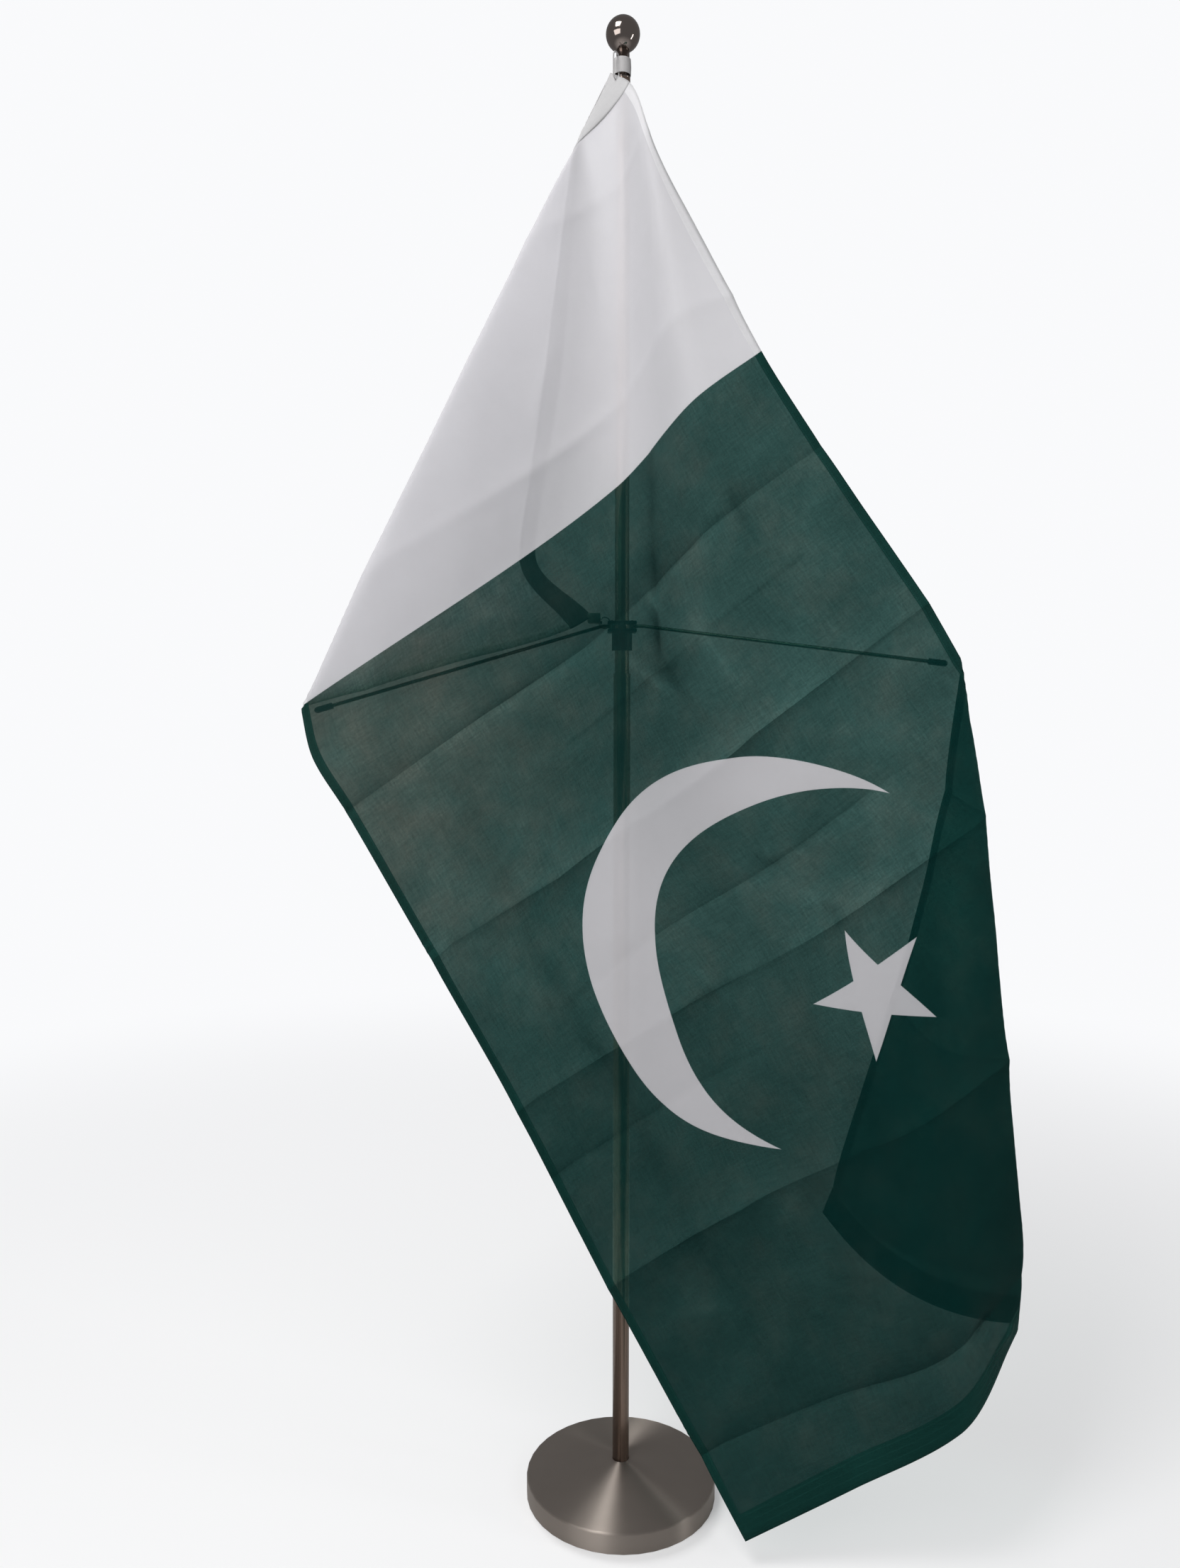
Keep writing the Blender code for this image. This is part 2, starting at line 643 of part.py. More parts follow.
def main():
    clear_scene()
    parts = make_collection(OBJECT_NAME)
    tools = make_collection("cutters")
    cloth = make_material("flag_cloth", (0.010, 0.055, 0.045), 0.75)
    canvas = make_material("heading_canvas", (0.80, 0.80, 0.81), 0.85)
    steel = make_material("stand_steel", (0.42, 0.39, 0.37), 0.28, 1.0)
    chrome = make_material("finial_chrome", (0.60, 0.58, 0.56), 0.08, 1.0)
    paint = make_material("hub_black", (0.015, 0.015, 0.016), 0.45)
    webbing = make_material("band_webbing", (0.62, 0.61, 0.61), 0.6)
    plastic = make_material("clip_plastic", (0.55, 0.54, 0.52), 0.35)

    make_base(parts, steel)
    tube("pole_lower", LOWER_TUBE_R, 0.0, LOWER_TUBE_TOP, parts, steel, plug=FOOT_PLUG)
    tube("pole_upper", UPPER_TUBE_R, UPPER_TUBE_FOOT, POLE_TOP, parts, steel)
    make_finial(parts, chrome)
    pivots = make_hub(parts, tools, paint)
    head, shank = make_hub_screw(parts, steel)
    combine(head, shank, "UNION")
    make_tool(shank)
    for name, pivot, tip in zip(("arm_left", "arm_right"), pivots, (LEFT_TIP, RIGHT_TIP)):
        make_arm(name, pivot, tip, parts, tools, paint, steel)

    hole_at = on_cloth(LINK_HOLE_U, LINK_HOLE_V)
    make_top_fittings(parts, hole_at, webbing, chrome)
    make_clip(parts, tools, plastic, chrome)
    cloth_sheet("flag_cloth", HEADING_WIDTH + SEAM_GAP, FLAG_LENGTH, SECTIONS, CLOTH_THICK, parts,
                cloth)
    heading = cloth_sheet("flag_heading", 0.0, HEADING_WIDTH, HEADING_SECTIONS, HEADING_THICK,
                          parts, canvas)
    reach = LINK_TO_POLE.normalized() * 0.012
    hole = cylinder("link_hole", hole_at - reach, hole_at + reach, LINK_HOLE_R, tools)
    combine(heading, make_tool(hole), "DIFFERENCE")


main()
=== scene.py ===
"""Looks of the national flag and the floor stand that it hangs on.

The cloth is laid out flat as a grid, hung along the same lines as the solid that it stands for,
creased where it was folded for packing, and given its thickness and hems. The stand keeps its
solids and gets its metals.
"""
import json
import math
from collections import namedtuple

import bpy
import numpy as np
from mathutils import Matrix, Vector

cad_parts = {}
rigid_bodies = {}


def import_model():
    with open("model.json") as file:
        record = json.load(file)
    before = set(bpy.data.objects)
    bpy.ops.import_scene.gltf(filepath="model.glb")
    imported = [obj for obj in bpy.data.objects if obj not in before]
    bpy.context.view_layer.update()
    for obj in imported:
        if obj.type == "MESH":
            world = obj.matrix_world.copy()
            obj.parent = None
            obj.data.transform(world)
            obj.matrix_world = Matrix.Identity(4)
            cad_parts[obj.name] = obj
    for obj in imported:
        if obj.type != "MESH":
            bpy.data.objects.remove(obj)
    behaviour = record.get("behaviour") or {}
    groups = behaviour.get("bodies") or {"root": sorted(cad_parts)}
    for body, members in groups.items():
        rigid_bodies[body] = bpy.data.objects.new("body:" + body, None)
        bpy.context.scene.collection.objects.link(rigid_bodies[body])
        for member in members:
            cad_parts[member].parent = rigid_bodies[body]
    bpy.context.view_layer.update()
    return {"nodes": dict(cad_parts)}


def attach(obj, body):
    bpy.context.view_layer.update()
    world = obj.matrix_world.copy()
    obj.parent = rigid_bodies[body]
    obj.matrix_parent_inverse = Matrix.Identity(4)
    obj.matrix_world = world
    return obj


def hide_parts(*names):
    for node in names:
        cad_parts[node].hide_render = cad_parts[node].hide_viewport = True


# flag, cut flat: length from hoist to fly, width from top edge to bottom edge
FLAG_WIDTH = 0.94
FLAG_LENGTH = 1.88
HEADING_WIDTH = 0.036
BAND_LENGTH = 0.47
SIDE_HEM = 0.013
FLY_HEM = 0.036

# thickness of the cloth and of the canvas
CLOTH_THICK = 0.0007
HEADING_THICK = 0.0018
# the cloth starts under the heading
CLOTH_START = 0.030
# half the length of cloth that a fold rounds off, and the way that the right flap's slack hangs
FOLD_EASE = 0.016
FLAP_BELLY = Vector((0.0, 0.60, -0.80))
# grid cells along and across
CLOTH_CELLS = (300, 152)
HEADING_CELLS = (10, 200)

# smooth copies of the round solids: merging distance, and the angle in degrees that stays sharp
MERGE_WITHIN = 0.00002
SMOOTH_UNDER = 30

# crescent and star, in metres on the flat cloth, and how far their edges blur
CRESCENT_AT = (1.180, 0.465)
CRESCENT_R = 0.290
HOLLOW_AT = (1.255, 0.403)
HOLLOW_R = 0.270
STAR_AT = (1.304, 0.359)
STAR_R = 0.097
EMBLEM_EDGE = 0.0009

# cloth colours: how it looks lit, how it glows when lit from behind, and the tint seen through it
GREEN = (0.0036, 0.033, 0.031, 1)
GREEN_HEM = (0.0040, 0.040, 0.033, 1)
GREEN_THREAD = (0.009, 0.060, 0.050, 1)
GREEN_GLOW = (0.006, 0.072, 0.067, 1)
GREEN_TINT = (0.73, 1.0, 0.95, 1)
# faded dye and painted pale sheen: the tint seen through the cloth there, and its greyer colour
FADED_AND_SHEEN_TINT = (0.95, 0.98, 0.90, 1)
FADED_AND_SHEEN = (0.62, 0.60, 0.55, 1)
WHITE = (0.80, 0.79, 0.815, 1)
EMBLEM_WHITE = (0.66, 0.65, 0.675, 1)
WHITE_HEM = (0.79, 0.785, 0.80, 1)
WHITE_GLOW = (0.98, 0.98, 1.0, 1)
WHITE_TINT = (1.0, 1.0, 1.0, 1)
CANVAS = (0.53, 0.525, 0.53)

# how much of the light glows through the cloth, how clear it is, and what changes either
GLOW = 0.32
GLOW_AT_HEM = -0.20
CLEAR = 0.40
# painted shade: a patch in the middle of the green lets less through, so it looks darker
CLEAR_WHERE_SHADED = -0.05
# more see-through where the dye is faded and where the pale sheen is painted
CLEAR_WHERE_FADED_AND_SHEEN = 0.12
CLEAR_WHERE_WHITE = -0.12
CLEAR_AT_HEM = -0.65

# places on the flat cloth: the middle, the radius of half strength and the blur
Patch = namedtuple("Patch", "middle radius blur")
# painted pale sheen patch, near the bottom edge beside the white band
SHEEN_PATCH = Patch((0.58, 0.88, 0), 0.26, 0.46)
# painted shade patch in the middle of the green
SHADE_PATCH = Patch((0.76, 0.50, 0), 0.20, 0.34)

# blur of the edges between colours
EDGE_BLUR = 0.001

# stitches: their length, half the thread's width and its blur, and half the share of a stitch's
# length that shows and its blur; then the first row's distance from the edge and the row spacing
STITCH_LENGTH = 0.0032
THREAD_HALF = 0.0005
THREAD_BLUR = 0.0004
STITCH_HALF = 0.36
STITCH_BLUR = 0.1
SIDE_ROWS = (0.0025, 0.0085)
FLY_ROWS = (0.003, 0.0095)

# weave: threads per metre, and the noises that make its tone uneven, each with its share
CLOTH_THREADS = 900.0
CANVAS_THREADS = 700.0
Grain = namedtuple("Grain", "stretch scale detail roughness share")
GRAINS = [
    Grain((30.0, 300.0, 1.0), 1.0, 3.0, 0.7, 0.27),
    Grain((300.0, 30.0, 1.0), 1.0, 3.0, 0.7, 0.27),
    Grain((1.0, 1.0, 1.0), 330.0, 3.0, 0.7, 0.30),
    Grain((1.0, 1.0, 1.0), 9.0, 3.0, 0.5, 0.16),
]

# tones: the weave's contrast and the creases' painted light and shade on white, and how much more
# on green
WEAVE_CONTRAST = 0.35
WEAVE_CONTRAST_GREEN = 1.2
PAINTED_SHADE_TONE = 0.03
PAINTED_SHADE_TONE_GREEN = 0.27
# painted shade: how much darker the thin line along each crease is painted on the green
CREASE_LINE_SHADE_TONE = -0.15
# how much the greyer colour shows where the dye is faded and where a pale sheen is painted
FADED_AND_SHEEN_DYE = 0.03
# the dye's patchiness: noise per metre, its contrast and offset, and the share of the painted pale
# sheen patch
PATCHINESS = 13.0
PATCHINESS_CONTRAST = 1.6
PATCHINESS_OFFSET = -0.70
SHEEN_PATCH_SHARE = 0.7

# how much darker the heading and how much brighter the pole look through the cloth, as in the
# photo, whose real room was cut out
# painted shade: how much darker the heading is painted where it is seen through the cloth
HEADING_SHADE_BEHIND_CLOTH = -0.75
# painted light: how much brighter the pole's colour is painted where it is seen through the cloth
POLE_LIGHT_BEHIND_CLOTH = 1.4

# metals and plastics; the metals' dark warm colours are a painted reflection of a dim warm room
# around them
STEEL = (0.21, 0.150, 0.118)
BASE_STEEL = (0.36, 0.315, 0.28)
CHROME = (0.33, 0.28, 0.255)
BLACK = (0.012, 0.012, 0.013)
WEBBING = (0.46, 0.45, 0.45)
CLEAR_PLASTIC = (0.52, 0.50, 0.47)
# how much a metal's roughness varies, and the turn that lays brush marks round the axis
METAL_UNEVEN = 0.12
QUARTER_TURN = 0.25

# photograph: frame in pixels, focal length in pixels, place and downward pitch in degrees
FRAME_HEIGHT = 2212
FOCAL = 1703
CAMERA_AT = (-0.049, -1.86, 1.25)
CAMERA_PITCH = 3.6
# in millimetres; any height does, since the lens is worked out from it
SENSOR_HEIGHT = 24.0

# studio: the room's brightness where it is seen, through the cloth, and as a light
ROOM_COLOUR = (0.98, 0.985, 1.0, 1)
ROOM_SEEN = 0.97
ROOM_BEHIND_CLOTH = 0.30
ROOM_LIGHT = 0.20
# share of a lit surface in the floor near the stand, and how much dimmer it is through the cloth
FLOOR_SHARE = 0.7
FLOOR_BEHIND_CLOTH = 0.7
# how far from the stand either is halved, and its blur
FLOOR_NEAR = (1.9, 3.4)
FLOOR_DIMMED = (2.4, 5.6)
FLOOR_SIZE = 60
FLOOR_DROP = 0.0005
LIGHTS_AIM = (0.0, -0.1, 1.2)
Lamp = namedtuple("Lamp", "name place size power reflected")
LAMPS = [
    Lamp("ceiling", (-1.2, -1.6, 3.8), (1.2, 1.2), 58, True),
    Lamp("window", (-1.7, -2.0, 1.9), (2.0, 1.4), 21, True),
    Lamp("room side", (1.7, -2.2, 2.3), (1.4, 1.2), 11, False),
    Lamp("side window", (2.3, -0.7, 1.2), (0.2, 1.3), 7, True),
    Lamp("behind", (-1.0, 1.7, 3.2), (1.6, 1.6), 60, False),
]

# Lines that run along the cloth from the hoist (u = 0) to the fly (u = length). Each row gives
# the distance u along the cloth, the distance v down from its top edge, and the place in space.
Row = namedtuple("Row", "u v x y z")

TOP_CORNER = Row(0.000, 0.000, -0.0185, -0.0085, 2.189)
LEFT_TURN = Row(0.470, 0.940, -0.446, -0.200, 1.251)
RIGHT_TURN = Row(1.000, 0.000, 0.460, -0.200, 1.315)

TOP_EDGE = [
    TOP_CORNER,
    Row(0.036, 0.0, 0.0095, -0.0275, 2.166),
    Row(0.147, 0.0, 0.040, -0.092, 2.053),
    Row(0.316, 0.0, 0.117, -0.132, 1.886),
    Row(0.470, 0.0, 0.188, -0.155, 1.743),
    Row(0.686, 0.0, 0.301, -0.170, 1.567),
    Row(0.914, 0.0, 0.419, -0.195, 1.385),
    RIGHT_TURN,
    Row(1.160, 0.0, 0.463, -0.125, 1.169),
    Row(1.310, 0.0, 0.455, -0.075, 1.028),
    Row(1.440, 0.0, 0.435, -0.050, 0.905),
    Row(1.650, 0.0, 0.381, -0.040, 0.707),
    Row(1.880, 0.0, 0.304, -0.065, 0.484),
]
RIGHT_FOLD = [
    RIGHT_TURN,
    Row(1.100, 0.042, 0.488, -0.184, 1.211),
    Row(1.330, 0.140, 0.529, -0.165, 0.960),
    Row(1.530, 0.228, 0.555, -0.155, 0.739),
    Row(1.680, 0.292, 0.577, -0.148, 0.571),
    Row(1.800, 0.343, 0.591, -0.142, 0.440),
    Row(1.880, 0.376, 0.584, -0.140, 0.347),
]
CREST = [
    TOP_CORNER,
    Row(0.036, 0.004, 0.007, -0.0285, 2.161),
    Row(0.150, 0.016, 0.032, -0.098, 2.042),
    Row(0.385, 0.070, 0.080, -0.165, 1.791),
    Row(0.470, 0.120, 0.102, -0.180, 1.678),
    Row(0.700, 0.248, 0.110, -0.190, 1.415),
    Row(0.940, 0.336, 0.165, -0.186, 1.165),
    Row(1.200, 0.340, 0.315, -0.188, 0.955),
    Row(1.470, 0.440, 0.385, -0.195, 0.665),
    Row(1.700, 0.480, 0.445, -0.225, 0.445),
    Row(1.880, 0.550, 0.465, -0.240, 0.240),
]
TROUGH = [
    TOP_CORNER,
    Row(0.036, 0.050, -0.019, -0.0295, 2.125),
    Row(0.120, 0.070, -0.002, -0.036, 2.033),
    Row(0.385, 0.265, -0.004, -0.034, 1.695),
    Row(0.470, 0.325, -0.008, -0.034, 1.580),
    Row(0.700, 0.453, -0.006, -0.044, 1.318),
    Row(0.940, 0.586, -0.012, -0.060, 1.044),
    Row(1.200, 0.660, 0.085, -0.098, 0.775),
    Row(1.470, 0.690, 0.175, -0.125, 0.535),
    Row(1.700, 0.720, 0.270, -0.152, 0.315),
    Row(1.880, 0.740, 0.325, -0.215, 0.145),
]
LEFT_FOLD = [
    Row(0.000, 0.118, -0.0655, -0.034, 2.084),
    Row(0.036, 0.140, -0.074, -0.043, 2.066),
    Row(0.060, 0.170, -0.090, -0.051, 2.036),
    Row(0.138, 0.288, -0.151, -0.070, 1.911),
    Row(0.244, 0.491, -0.248, -0.110, 1.700),
    Row(0.373, 0.746, -0.365, -0.160, 1.444),
    LEFT_TURN,
]
FLAP_HIGH = [
    Row(0.000, 0.420, -0.093, 0.086, 1.792),
    Row(0.235, 0.620, -0.278, -0.034, 1.585),
    LEFT_TURN,
]
FLAP_MIDDLE = [
    Row(0.000, 0.580, -0.118, 0.114, 1.645),
    Row(0.235, 0.710, -0.284, -0.026, 1.505),
    LEFT_TURN,
]
FLAP_LOW = [
    Row(0.000, 0.740, -0.137, 0.090, 1.500),
    Row(0.235, 0.800, -0.290, -0.034, 1.425),
    LEFT_TURN,
]
BOTTOM_EDGE = [
    Row(0.000, 0.940, -0.046, -0.026, 1.388),
    Row(0.036, 0.940, -0.078, -0.038, 1.369),
    Row(0.240, 0.940, -0.250, -0.108, 1.314),
    LEFT_TURN,
    Row(0.540, 0.940, -0.433, -0.205, 1.191),
    Row(0.640, 0.940, -0.383, -0.200, 1.103),
    Row(0.880, 0.940, -0.276, -0.165, 0.895),
    Row(1.150, 0.940, -0.159, -0.120, 0.663),
    Row(1.470, 0.940, -0.022, -0.104, 0.385),
    Row(1.700, 0.940, 0.089, -0.140, 0.191),
    Row(1.880, 0.940, 0.176, -0.185, 0.046),
]

# Packing creases across the cloth: their distance u at each of the distances CREASE_V from the top
# edge, how far they stand up, how wide they fade, and the part of the width that they cross
CREASE_V = (0.10, 0.30, 0.50, 0.70, 0.90)
Crease = namedtuple("Crease", "line height reach v_from v_to")
CREASES = [
    Crease((0.131, 0.127, 0.123, 0.123, 0.123), 0.0024, 0.014, 0.00, 0.50),
    Crease((0.384, 0.380, 0.379, 0.377, 0.375), 0.0040, 0.020, 0.00, 0.94),
    Crease((0.629, 0.634, 0.645, 0.637, 0.636), -0.0066, 0.034, 0.00, 0.94),
    Crease((0.744, 0.752, 0.754, 0.754, 0.754), 0.0018, 0.022, 0.10, 0.60),
    Crease((0.904, 0.906, 0.930, 0.920, 0.882), 0.0078, 0.036, 0.00, 0.94),
    Crease((1.073, 1.073, 1.076, 1.079, 1.070), -0.0040, 0.024, 0.12, 0.80),
    Crease((1.202, 1.194, 1.184, 1.173, 1.155), 0.0070, 0.034, 0.00, 0.94),
    Crease((1.300, 1.300, 1.292, 1.284, 1.275), -0.0030, 0.022, 0.55, 0.94),
    Crease((1.540, 1.508, 1.476, 1.486, 1.471), 0.0080, 0.036, 0.00, 0.94),
    Crease((1.840, 1.820, 1.788, 1.772, 1.751), -0.0080, 0.036, 0.00, 0.94),
]

# Short creases and pinches, from one point of the flat cloth to another: how far they stand up
# (below zero they sink) and how wide they fade
Pinch = namedtuple("Pinch", "u v to_u to_v height reach")
PINCHES = [
    Pinch(0.620, 0.783, 1.720, 0.783, -0.0026, 0.018),
    Pinch(0.900, 0.470, 1.700, 0.475, -0.0010, 0.016),
    Pinch(0.593, 0.144, 0.676, 0.150, -0.0042, 0.012),
    Pinch(0.471, 0.245, 0.574, 0.306, -0.0050, 0.016),
    Pinch(0.574, 0.306, 0.653, 0.348, -0.0056, 0.009),
    Pinch(0.653, 0.348, 0.738, 0.377, -0.0060, 0.009),
    Pinch(0.738, 0.377, 0.816, 0.365, -0.0035, 0.012),
    Pinch(0.637, 0.354, 0.675, 0.342, 0.0060, 0.008),
    Pinch(0.665, 0.362, 0.731, 0.377, -0.0050, 0.007),
    Pinch(0.756, 0.383, 0.766, 0.345, -0.0030, 0.007),
    Pinch(0.694, 0.442, 0.747, 0.407, 0.0050, 0.008),
    Pinch(0.747, 0.407, 0.794, 0.380, 0.0060, 0.008),
    Pinch(0.700, 0.290, 0.860, 0.280, 0.0042, 0.016),
    Pinch(0.647, 0.793, 0.664, 0.797, -0.0030, 0.007),
    Pinch(0.728, 0.828, 0.746, 0.828, -0.0030, 0.007),
    Pinch(0.863, 0.893, 0.890, 0.893, -0.0025, 0.007),
    Pinch(1.050, 0.808, 1.070, 0.814, -0.0028, 0.007),
    Pinch(1.120, 0.800, 1.165, 0.781, -0.0034, 0.007),
    Pinch(1.050, 0.400, 1.085, 0.372, -0.0048, 0.010),
    Pinch(1.045, 0.370, 1.067, 0.386, 0.0036, 0.010),
    Pinch(1.120, 0.385, 1.160, 0.358, 0.0039, 0.012),
    Pinch(1.150, 0.362, 1.200, 0.356, -0.0042, 0.012),
    Pinch(1.175, 0.610, 1.180, 0.540, -0.0042, 0.010),
    Pinch(1.140, 0.590, 1.210, 0.560, 0.0034, 0.012),
    Pinch(1.020, 0.690, 1.070, 0.640, 0.0031, 0.014),
    Pinch(1.290, 0.260, 1.360, 0.240, 0.0031, 0.014),
    Pinch(0.930, 0.560, 0.985, 0.600, -0.0031, 0.012),
    Pinch(1.480, 0.600, 1.530, 0.660, 0.0031, 0.014),
    Pinch(1.560, 0.860, 1.600, 0.780, 0.0031, 0.014),
    Pinch(1.788, 0.422, 1.796, 0.470, -0.0050, 0.009),
    Pinch(1.856, 0.396, 1.848, 0.430, 0.0060, 0.008),
    Pinch(0.250, 0.300, 0.330, 0.420, 0.0028, 0.018),
    Pinch(0.180, 0.170, 0.260, 0.210, -0.0025, 0.016),
]

# how far from its ends a crease's height and its painted light and shade fade, how wide the
# painted dark line along it and the painted light and shade beside it reach, and the height and
# depth that paint light and shade fully
CREASE_END = 0.05
PAINTED_SHADE_END = 0.12
CREASE_LINE_SHADE_WIDTH = 0.0030
PAINTED_SHADE_WIDTH = 0.030
DEEPEST_CREASE = 0.0080
DEEPEST_PINCH = 0.0050
# the share of its height that a short crease has at its ends
PINCH_ENDS = 0.35
# strip beside the two folds in which creases shrink, and the share of them that is left on a fold
FOLD_CALM = 0.045
CALM_SHARE = 0.25

# How uneven a packing crease is along its line: the size of the swing, how fast it swings over
# the width in radians per metre, and how far it is shifted from one crease to the next
Swing = namedtuple("Swing", "size rate shift")
HEIGHT_SWING = Swing(0.25, 13.0, 2.3)
CREASE_LINE_SHADE_SWING = Swing(0.40, 17.0, 1.7)
PAINTED_SHADE_SWING = Swing(0.35, 11.0, 1.9)
SLOW_SWING = Swing(1.00, 4.3, 1.0)
REACH_SWING = Swing(0.40, 7.0, 2.7)

# Faint rumples: how many ridged waves cross, their lengths and slope, the mean and spread of their
# directions in radians, their bend, the lengths that a bend takes, and the patches they come in
WAVES = 26
WAVE_LENGTHS = (0.028, 0.150)
WAVE_SLOPE = 0.0110
WAVE_HEADING = (0.25, 0.75)
WAVE_BEND = 1.6
BEND_LENGTHS = 3
PATCH_ACROSS = 0.7
PATCH_ALONG = 0.11
WAVE_SEED = 11
# the rumples' mean height, and how strongly their height above it is painted as light and shade,
# paler where higher and darker where lower
RUMPLE_MEAN = 0.0004
RUMPLE_PAINTED_SHADE = 700.0


# Hanging the cloth

def through(rows, where, key):
    """A smooth curve through the rows at the given place, which overshoots no row."""
    knots = [key(row) for row in rows]
    spans = [max(b - a, 1e-6) for a, b in zip(knots, knots[1:])]
    slopes = [[(q - p) / span for p, q in zip(a, b)] for a, b, span in zip(rows, rows[1:], spans)]
    i = sum(1 for knot in knots[1:-1] if knot <= where)

    def tangent(j):
        if j in (0, len(slopes)):
            return slopes[min(j, len(slopes) - 1)]
        near, far = 2 * spans[j] + spans[j - 1], spans[j] + 2 * spans[j - 1]
        return [
            (near + far) / (near / a + far / b) if a * b > 0 else 0.0
            for a, b in zip(slopes[j - 1], slopes[j])
        ]

    t = min(max((where - knots[i]) / spans[i], 0.0), 1.0)
    start, end = 2 * t**3 - 3 * t**2 + 1, 3 * t**2 - 2 * t**3
    leave, arrive = (t**3 - 2 * t**2 + t) * spans[i], (t**3 - t**2) * spans[i]
    return Row(*(
        start * a + end * b + leave * m + arrive * n
        for a, b, m, n in zip(rows[i], rows[i + 1], tangent(i), tangent(i + 1))
    ))


def along(rows, u, corner=None):
    """A line's row at u. A line that turns a corner is followed on one side of it only."""
    if corner is not None:
        rows = [r for r in rows if (r.u <= corner.u if u <= corner.u else r.u >= corner.u)]
    return through(rows, u, lambda row: row.u)


def section(u):
    """The rows across the cloth at u: its right flap, its front and its left flap."""
    top = along(TOP_EDGE, u, RIGHT_TURN)
    bottom = along(BOTTOM_EDGE, u, LEFT_TURN)
    right = along(RIGHT_FOLD, u) if u > RIGHT_TURN.u else top
    left_flap = [bottom, bottom]
    if u < LEFT_TURN.u:
        lines = (LEFT_FOLD, FLAP_HIGH, FLAP_MIDDLE, FLAP_LOW)
        left_flap = [along(line, u) for line in lines] + [bottom]
    front = [right, along(CREST, u), along(TROUGH, u), left_flap[0]]
    return [top, right], front, left_flap


def on_right_flap(rows, v):
    """Straight across the flap, with the belly that its spare length makes behind the flag."""
    top, fold = Vector(rows[0][2:]), Vector(rows[1][2:])
    length = max(rows[1].v - rows[0].v, 1e-6)
    chord = (fold - top).length
    share = (v - rows[0].v) / length
    # the height of a shallow arc of this length over its chord
    belly = math.sqrt(max(length - chord, 0.0) * chord * 3 / 8)
    return top.lerp(fold, share) + FLAP_BELLY * belly * 4 * share * (1 - share)


def hang_section(u, distances):
    """The places of the cloth's points at u, with its two folds rounded off."""
    right_flap, front, left_flap = section(u)
    right_v, left_v = front[0].v, front[-1].v

    def plain(at):
        if at < right_v:
            return on_right_flap(right_flap, at)
        rows = front if at <= left_v else left_flap
        return Vector(through(rows, at, lambda row: row.v)[2:])

    folds = []
    for fold_v, room in ((right_v, right_v), (left_v, FLAG_WIDTH - left_v)):
        ease = min(FOLD_EASE, room / 2, (left_v - right_v) / 2)
        if ease > 1e-5:
            folds.append((fold_v, ease, plain(fold_v - ease), plain(fold_v), plain(fold_v + ease)))
    places = []
    for v in distances:
        place = None
        for fold_v, ease, a, b, c in folds:
            if abs(v - fold_v) < ease:
                t = (v - fold_v + ease) / (2 * ease)
                place = a * (1 - t) ** 2 + b * 2 * t * (1 - t) + c * t**2
        places.append(plain(v) if place is None else place)
    return places


def normals_of(places):
    """Unit normals of a grid of places, which point towards the viewer on the flag's front."""
    across = np.gradient(places, axis=1)
    down = np.gradient(places, axis=0)
    normals = np.cross(across, down)
    size = np.linalg.norm(normals, axis=2, keepdims=True)
    return normals / np.maximum(size, 1e-12)


def crease_line(crease, v):
    """A packing crease's distance u at each v."""
    return np.interp(v, CREASE_V, crease.line)


def swing_at(swing, v, number):
    """How far a numbered crease swings from even at each v."""
    return swing.size * np.sin(v * swing.rate + swing.shift * number)


def crease_height(u, v):
    """How far the packing creases lift the cloth, over grids of u and v."""
    height = np.zeros_like(u)
    for number, crease in enumerate(CREASES):
        ends = (np.clip((v - crease.v_from) / CREASE_END, 0, 1)
                * np.clip((crease.v_to - v) / CREASE_END, 0, 1))
        if crease.v_from == 0.0:
            ends = np.clip((crease.v_to + CREASE_END - v) / CREASE_END, 0, 1)
        uneven = 1 - HEIGHT_SWING.size + swing_at(HEIGHT_SWING, v, number)
        off_line = np.abs(u - crease_line(crease, v))
        height += crease.height * ends * uneven * np.exp(-off_line / crease.reach)
    return height


def painted_crease_line(u, v):
    """A painted dark line of shade along each packing crease, from 0 to 1."""
    wear = np.zeros_like(u)
    for number, crease in enumerate(CREASES):
        crossed = (v >= crease.v_from) & (v <= crease.v_to)
        uneven = 1 - CREASE_LINE_SHADE_SWING.size + swing_at(CREASE_LINE_SHADE_SWING, v, number)
        off_line = np.abs(u - crease_line(crease, v))
        wear = np.maximum(wear, crossed * uneven * np.exp(-off_line / CREASE_LINE_SHADE_WIDTH))
    return wear


def painted_crease_shade(u, v, face_u, face_v):
    """Painted light and shade beside the creases: up to 1, lighter, on a ridge's upper side, and
    -1, darker, below.
    """
    light_and_shade = np.zeros_like(u)
    for number, crease in enumerate(CREASES):
        side = np.where(face_u < crease_line(crease, face_v), 1.0, -1.0)
        end_from = 1.0 if crease.v_from == 0.0 else np.clip((v - crease.v_from) / PAINTED_SHADE_END, 0, 1)
        end_to = 1.0 if crease.v_to == FLAG_WIDTH else np.clip((crease.v_to - v) / PAINTED_SHADE_END, 0, 1)
        uneven = swing_at(PAINTED_SHADE_SWING, v, number) * swing_at(SLOW_SWING, v, number)
        uneven += 1 - PAINTED_SHADE_SWING.size
        reach = PAINTED_SHADE_WIDTH * (1.0 + swing_at(REACH_SWING, v, number))
        fade = np.exp(-np.abs(u - crease_line(crease, v)) / reach)
        light_and_shade += crease.height / DEEPEST_CREASE * side * end_from * end_to * uneven * fade
    return light_and_shade


